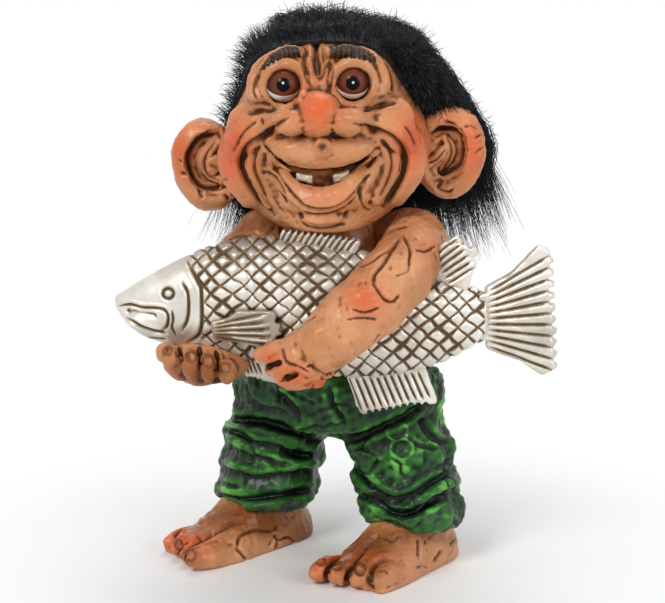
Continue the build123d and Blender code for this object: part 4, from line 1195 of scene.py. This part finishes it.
def makeFishBody():
    clay = Clay("fish_body", *fish["clay"])
    clay.pad(*fish["tongue"])
    skin = Skin(clay)
    slope, pitch = math.radians(fish["scaleSlope"]), fish["scalePitch"]
    u, v = skin.spots[:, 0], skin.spots[:, 1]
    wobble = 0.10 * lumps(skin.points, 14.0, 71) + 0.05 * lumps(skin.points, 5.0, 72)
    near = []
    for sign in (-1, 1):
        line = (u * math.sin(slope) + sign * v * math.cos(slope)) / pitch + wobble
        near.append(np.abs(line - np.round(line)) * pitch * pixelSize)
    across, down = zip(*fish["scaleStart"])
    scaled = clamp((u - np.interp(v, down, across)) / 2.0) * clamp((fish["scaleEnd"] - u) / 2.0)
    uneven = 0.75 + 0.3 * lumps(skin.points, 9.0, 73)
    groove = bell(np.minimum(*near), fish["grooveWidth"] * uneven) * scaled
    skin.push += fish["pillow"] * scaled * clamp(near[0] * near[1] / 2.0) - fish["grooveDepth"] * groove
    skin.masks["wash"] = groove * np.clip(uneven, 0.3, 1)
    skin.carve(fish["cuts"], fish["marks"])
    spot, size = fish["eye"]
    far = np.linalg.norm(skin.spots - np.asarray(spot), axis=1) * pixelSize / size
    rim = bell(far - 1, 0.3)
    skin.push += 0.5 * bell(far, 0.6) - 0.6 * rim
    skin.raiseMask("wash", rim)
    skin.settle(gain=fish["gain"])
    skin.airbrush(fish)
    finishPiece(skin, "fish_skin", fishSilver, "fish_silver", "fish_body")


def makeFin(node):
    look = fish["fins"][node]
    ribs, half, notch = look["ribs"], look["half"], look["notch"]
    clay = Clay(node, *fish["finClay"])
    root, tip = np.array(look["root"], float), np.array(look["tip"], float)

    def ray(share):  # the two ends of a line from root to tip
        return root[0] + (root[1] - root[0]) * share, tip[0] + (tip[1] - tip[0]) * share

    def middle(share, along):  # the middle of the fin's thickness under a place on it
        a, b = ray(share)
        found = clay.hit(a + (b - a) * along)
        return None if found is None else found + np.array((0, half, 0))

    for share in (np.arange(ribs) + 0.5) / ribs:
        near, far = middle(share, 0.25), middle(share, 0.85)
        if near is not None and far is not None:
            run = (far - near) / 0.6
            clay.tube([near - run * 0.2, far + run * 0.1], [half + 0.15, half + 0.4], 0.35)
    for share in np.arange(1, ribs) / ribs:
        found = [middle(share, along) for along in np.arange(0.6, 1.6, 0.03)]
        if found[0] is not None:
            edge = [spot for spot in found if spot is not None][-1]
            thick = np.array((0, half + 2, 0))
            clay.tube([edge - thick, edge + thick], [notch, notch], 0.3, dig=True)
    skin = Skin(clay)
    for share in np.arange(ribs + 1) / ribs:
        skin.cut(ray(share), look["width"], 0.5, lip=0.2, paint=0.8, side=0)
    skin.push += 0.1 * lumps(skin.points, 4.0, 81)
    skin.settle(gain=fish["gain"])
    skin.raiseMask("shade", look["shade"])
    finishPiece(skin, node + "_cast", fishSilver, "fish_silver", node)


makeFishBody()
for finNode in fish["fins"]:
    makeFin(finNode)


# Hair

hair = {
    "seed": 7,
    "strands": 15000,
    "locks": 520,
    "points": 7,
    "clay": (0.9, 1.0, 8.0, 14),  # voxel, softening, room, band
    "lumps": [(0.7, 8.0, 91), (0.4, 3.0, 92)],
    "crown": (-2.0, 18.0, 172.0),
    "middle": (-2.5, 8.0, 140.0),
    "topLength": (4.5, 7.5),
    "sideLength": (15.0, 30.0),
    "topHeight": (148.0, 166.0),
    "lowest": 98.0,
    "wander": 0.22,
    "fan": 0.3,
    "sideLift": (0.02, 0.14),
    "topLift": (0.3, 0.8),
    "looseBelow": (150.0, 25.0, 4.0),  # height, over how much, how far
    "shrink": 0.8,
    "topShrink": 1.4,
    "topFrom": 166.0,
    "topOver": 8.0,
    "sideFrom": 12.0,
    "sideOver": 14.0,
    # height, how far inside
    "rightSlack": [(102, 6.5), (120, 4.5), (135, 2.5), (150, 4.5), (164, 5.0), (178, 1.5)],
    "leftSlack": [(102, 10.0), (112, 7.0), (120, 2.5), (130, -0.8), (150, -0.6), (178, 0.0)],
    "frontFuzz": 4500,
    "wisps": 1800,
    "wispLength": (12.0, 30.0),
    "wispHeight": (108.0, 140.0),
    "wispAside": 20,
    "wispBack": 34,
    "standOff": (1.0, 4.0),  # how far strands may leave the fur's body
    "radius": (0.13, 0.035),
    "pieces": 4,
    "fuzz": 5000,
    "fuzzLength": (3.5, 7.0),
    "fuzzAbove": 130.0,
    "fuzzLean": (0, 0.25, 0.35),
    "fuzzBend": (0, 0.16, -0.1),
}


def growHair(clay, roots, top, lengths, rng):  # follows the fur's lie down over the head from each root
    steps = hair["points"] - 1
    spots = roots.copy()
    line = [spots.copy()]
    crown = np.array(hair["crown"])
    wander = rng.normal(size=roots.shape) * hair["wander"]
    sideLift, topLift = (rng.uniform(*hair[key], len(roots)) for key in ("sideLift", "topLift"))
    lift = (sideLift * (1 - top) + topLift * top)[:, None]
    low, high = hair["standOff"]
    limit = low + (high - low) * rng.random(len(roots)) ** 2
    height, depth, most = hair["looseBelow"]
    limit += most * clamp((height - roots[:, 2]) / depth) * rng.random(len(roots))
    for step in range(steps):
        normal = slopeOf(clay, spots)
        away = spots - crown
        away[:, 2] = 0
        down = np.array((0, 0, -1.0)) - normal * (-normal[:, 2:3])
        flow = unit(down + unit(away) * hair["fan"] + wander)
        go = flow + normal * lift * (1.2 - 0.8 * step / steps)
        go[:, 1] = np.where(spots[:, 1] < 4, np.maximum(go[:, 1], -0.05), go[:, 1])  # keeps off the face
        spots = spots + unit(go) * (lengths / steps)[:, None]
        deep = clay.sample(spots)
        spots = spots + normal * (np.clip(0.3 - deep, 0, 2) - np.clip(deep - limit, 0, 3))[:, None]
        line.append(spots.copy())
    return np.stack(line, 1)


def slopeOf(clay, points):  # the outward direction of a clay solid's surface
    step = clay.voxel * 1.5
    return unit(np.stack([clay.sample(points + d) - clay.sample(points - d) for d in np.eye(3) * step], 1))


def outwardPoints(skin):  # the points of a shell that face away from the head
    return np.nonzero(np.sum((skin.points - np.array(hair["middle"])) * skin.normals, axis=1) > 0)[0]


def growFuzz(skin, ready, count, rng):  # short pile brushed up and back from the brow
    ready = ready[skin.points[ready, 2] > hair["fuzzAbove"]]
    chosen = rng.choice(ready, count)
    spots = skin.points[chosen] + rng.normal(size=(count, 3)) * 0.4
    go = skin.normals[chosen] * 0.9 + np.array(hair["fuzzLean"]) + rng.normal(size=(count, 3)) * 0.3
    lengths = rng.uniform(*hair["fuzzLength"], count)[:, None]
    line = [spots]
    for step in range(hair["points"] - 1):
        go = unit(go + np.array(hair["fuzzBend"]) * step / 3)
        line.append(line[-1] + go * lengths / (hair["points"] - 1))
    return np.stack(line, 1)


def growWisps(skin, rng):  # loose long hairs that fan out behind the ears
    low, high = hair["wispHeight"]
    ready = outwardPoints(skin)
    x, y, z = (skin.points[ready] - (hair["middle"][0], 0, 0)).T
    ready = ready[(z > low) & (z < high) & (np.abs(x) > hair["wispAside"]) & (y < hair["wispBack"])]
    count = hair["wisps"]
    spots = skin.points[rng.choice(ready, count)]
    out = np.sign(spots[:, :1] - hair["middle"][0])
    go = np.array((0, 0.1, -1.0)) + out * np.array((0.55, 0, 0)) * rng.uniform(0.1, 1.0, (count, 1))
    go = go + rng.normal(size=(count, 3)) * np.array((0.12, 0.12, 0.1))
    lengths = rng.uniform(*hair["wispLength"], (count, 1))
    line = [spots]
    for _ in range(hair["points"] - 1):
        go = go + np.array((0, 0, -0.06))
        line.append(line[-1] + unit(go) * lengths / (hair["points"] - 1))
    return np.stack(line, 1)


def makeHair():
    rng = np.random.default_rng(hair["seed"])
    clay = Clay("hair", *hair["clay"])
    x, z = (clay.low[i] + clay.voxel * np.arange(clay.shape[i]) for i in (0, 2))
    clay.field += hair["shrink"] + hair["topShrink"] * clamp((z - hair["topFrom"]) / hair["topOver"])
    for sign, name in ((-1, "rightSlack"), (1, "leftSlack")):
        heights, slack = zip(*hair[name])
        side = clamp((sign * (x - hair["middle"][0]) - hair["sideFrom"]) / hair["sideOver"])[:, None, None]
        clay.field += side * np.interp(z, heights, slack)
    skin = Skin(clay)
    skin.roughen(hair)
    skin.settle()
    finishPiece(skin, "hair_under", furUnder, "hair_fur", "hair")
    chosen = rng.choice(outwardPoints(skin), hair["strands"])
    roots = skin.points[chosen] + rng.normal(size=(hair["strands"], 3)) * 0.5
    low, high = hair["topHeight"]
    top = clamp((roots[:, 2] - low) / (high - low))
    sideLength, topLength = (rng.uniform(*hair[key], len(roots)) for key in ("sideLength", "topLength"))
    lengths = sideLength * (1 - top) + topLength * top
    lengths *= np.clip((roots[:, 2] - hair["lowest"]) / 26.0, 0.25, 1)
    lines = growHair(clay, roots, top, lengths, rng)
    # strands gather towards the nearest leader
    leaders = rng.choice(len(roots), hair["locks"], replace=False)
    gap = np.stack([np.sum((roots - roots[i]) ** 2, axis=1) for i in leaders], 1)
    leader = leaders[np.argmin(gap, axis=1)]
    along = np.linspace(0, 1, hair["points"])
    share = (along**1.5)[None, :, None] * (0.15 + 0.5 * (1 - top))[:, None, None]
    lines = lines + (lines[leader] - lines) * share * rng.uniform(0.3, 0.9, len(roots))[:, None, None]
    thick, thin = hair["radius"]
    radii = thick + (thin - thick) * along
    for number, chosen in enumerate(np.array_split(np.argsort(roots[:, 0]), hair["pieces"])):
        strandMesh(f"hair_lock_{number + 1}", lines[chosen], radii, along)
    backing = Skin(Clay("wig_cap", 0.6, room=2.0))
    pile = growFuzz(backing, outwardPoints(backing), hair["fuzz"], rng)
    front = growFuzz(skin, np.nonzero(skin.normals[:, 1] < -0.35)[0], hair["frontFuzz"], rng)
    strandMesh("hair_fuzz_crown", pile, radii, along)
    strandMesh("hair_fuzz_brow", front, radii, along)
    strandMesh("hair_wisps", growWisps(skin, rng), 0.8 * radii, along)


def strandMesh(name, lines, radii, along):  # three-sided tapered strands
    count, points = lines.shape[:2]
    run = unit(np.gradient(lines, axis=1))
    side = unit(np.cross(run, np.array((0.3, 1.0, 0.2))))
    up = np.cross(run, side)
    corner = np.arange(3)
    around = [side * math.cos(a) + up * math.sin(a) for a in corner * 2 * math.pi / 3]
    verts = np.stack([lines + radii[None, :, None] * out for out in around], 2).reshape(-1, 3)
    base = np.arange(count)[:, None, None] * points * 3 + np.arange(points - 1)[None, :, None] * 3 + corner
    after = base - corner + (corner + 1) % 3
    faces = np.stack((base, after, after + 3, base + 3), 3).reshape(-1, 4)
    mesh = meshFrom(name, verts, faces, {"along": np.tile(np.repeat(along, 3), count)})
    show(name, mesh, furStrand, "hair_fur", "hair")


makeHair()


# Pins, dowels and the wig's backing keep their solids

def makeDowelWood():
    look = {"dark": (0.42, 0.24, 0.11, 1), "light": (0.62, 0.42, 0.22, 1)}
    material, tree, shader = newMaterial("dowel_wood")
    grain = put(tree, "ShaderNodeTexWave", {"Vector": objectPlace(tree), "Scale": 400.0, "Distortion": 6.0,
                                            "Detail": 3.0}).outputs["Fac"]
    fill(tree, shader, {
        "Base Color": ramp(tree, grain, [(0.0, look["dark"]), (1.0, look["light"])]), "Roughness": 0.6,
        "Normal": bump(tree, grain, 0.2, 0.0002)})
    return material


inner = {
    makePlain("pin_steel", (0.55, 0.55, 0.56, 1), (0.40, 0.40, 0.42, 1), 300.0, 0.3, 1.0):
        ("right_ankle_pin", "left_ankle_pin", "right_shoulder_pin", "left_shoulder_pin", "fish_pins"),
    makeDowelWood(): ("waist_dowel", "neck_dowel"),
    makePlain("wig_backing", (0.012, 0.012, 0.013, 1), (0.03, 0.03, 0.032, 1), 900.0, 0.8): ("wig_cap",),
}
for material, nodes in inner.items():
    for node in nodes:
        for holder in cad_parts[node].material_slots:
            holder.material = material


# Camera, light and floor

def makeCamera():
    data = bpy.data.cameras.new("camera")
    data.sensor_width = photo["sensor"]
    data.lens = photo["focal"] * photo["sensor"] / photo["width"]
    data.clip_start = 0.05
    camera = bpy.data.objects.new("camera", data)
    camera.location = lensPoint * metre
    camera.rotation_euler = (math.pi / 2 - rise, 0, 0)
    bpy.context.scene.collection.objects.link(camera)
    bpy.context.scene.camera = camera


def makeLamp(name, spot, size, power):
    data = bpy.data.lights.new(name, "AREA")
    data.shape = "DISK"
    data.size = size
    data.energy = power
    lamp = bpy.data.objects.new(name, data)
    lamp.location = spot
    x, y, z = np.array(photo["target"]) * metre - np.array(spot)
    lamp.rotation_euler = (math.atan2(math.hypot(x, y), -z), 0, math.atan2(y, x) - math.pi / 2)
    bpy.context.scene.collection.objects.link(lamp)


def backgroundShare(tree):  # 1 for what the camera sees directly, in gloss or through glass
    path = put(tree, "ShaderNodeLightPath").outputs
    seen = sums(tree, "ADD", path["Is Camera Ray"], path["Is Glossy Ray"])
    return sums(tree, "ADD", seen, path["Is Transmission Ray"])


def makeStage():
    world = bpy.data.worlds.new("studio")
    bpy.context.scene.world = world
    world.use_nodes = True
    tree = world.node_tree
    fill(tree, tree.nodes["Background"], {
        "Color": white, "Strength": sums(tree, "MULTIPLY_ADD", backgroundShare(tree), 0.72, 0.28)})
    half = 6.0
    corners = np.array([(-half, -half, 0), (half, -half, 0), (half, half, 0), (-half, half, 0)]) / metre
    mesh = meshFrom("floor", corners, np.array([[0, 1, 2, 3]]), {})
    material, tree, shader = newMaterial("floor_paper")
    paper = ramp(tree, noise(tree, 40.0), [(0.0, (0.92, 0.92, 0.92, 1)), (1.0, (0.95, 0.95, 0.95, 1))])
    far = put(tree, "ShaderNodeVectorMath", {0: objectPlace(tree)}, operation="LENGTH").outputs["Value"]
    far = spread(tree, far, 0.03, 0.15, "SMOOTHSTEP")
    share = times(tree, far, backgroundShare(tree))  # fades into the white ground
    fill(tree, shader, {
        "Base Color": blendColour(tree, share, paper, black),
        "Emission Color": blendColour(tree, share, black, white),
        "Emission Strength": 1.0, "Roughness": 0.9, "Specular IOR Level": 0.0})
    mesh.materials.append(material)
    floor = bpy.data.objects.new("floor", mesh)
    bpy.context.scene.collection.objects.link(floor)


makeCamera()
makeLamp("key", (-0.45, -0.75, 0.75), 0.4, 5.9)
makeLamp("fill", (0.7, -0.6, 0.45), 0.6, 2.8)
makeLamp("top", (0.1, 0.25, 0.95), 0.6, 3.4)
makeStage()
bpy.context.scene.view_settings.view_transform = "Standard"
print("camera and light set")
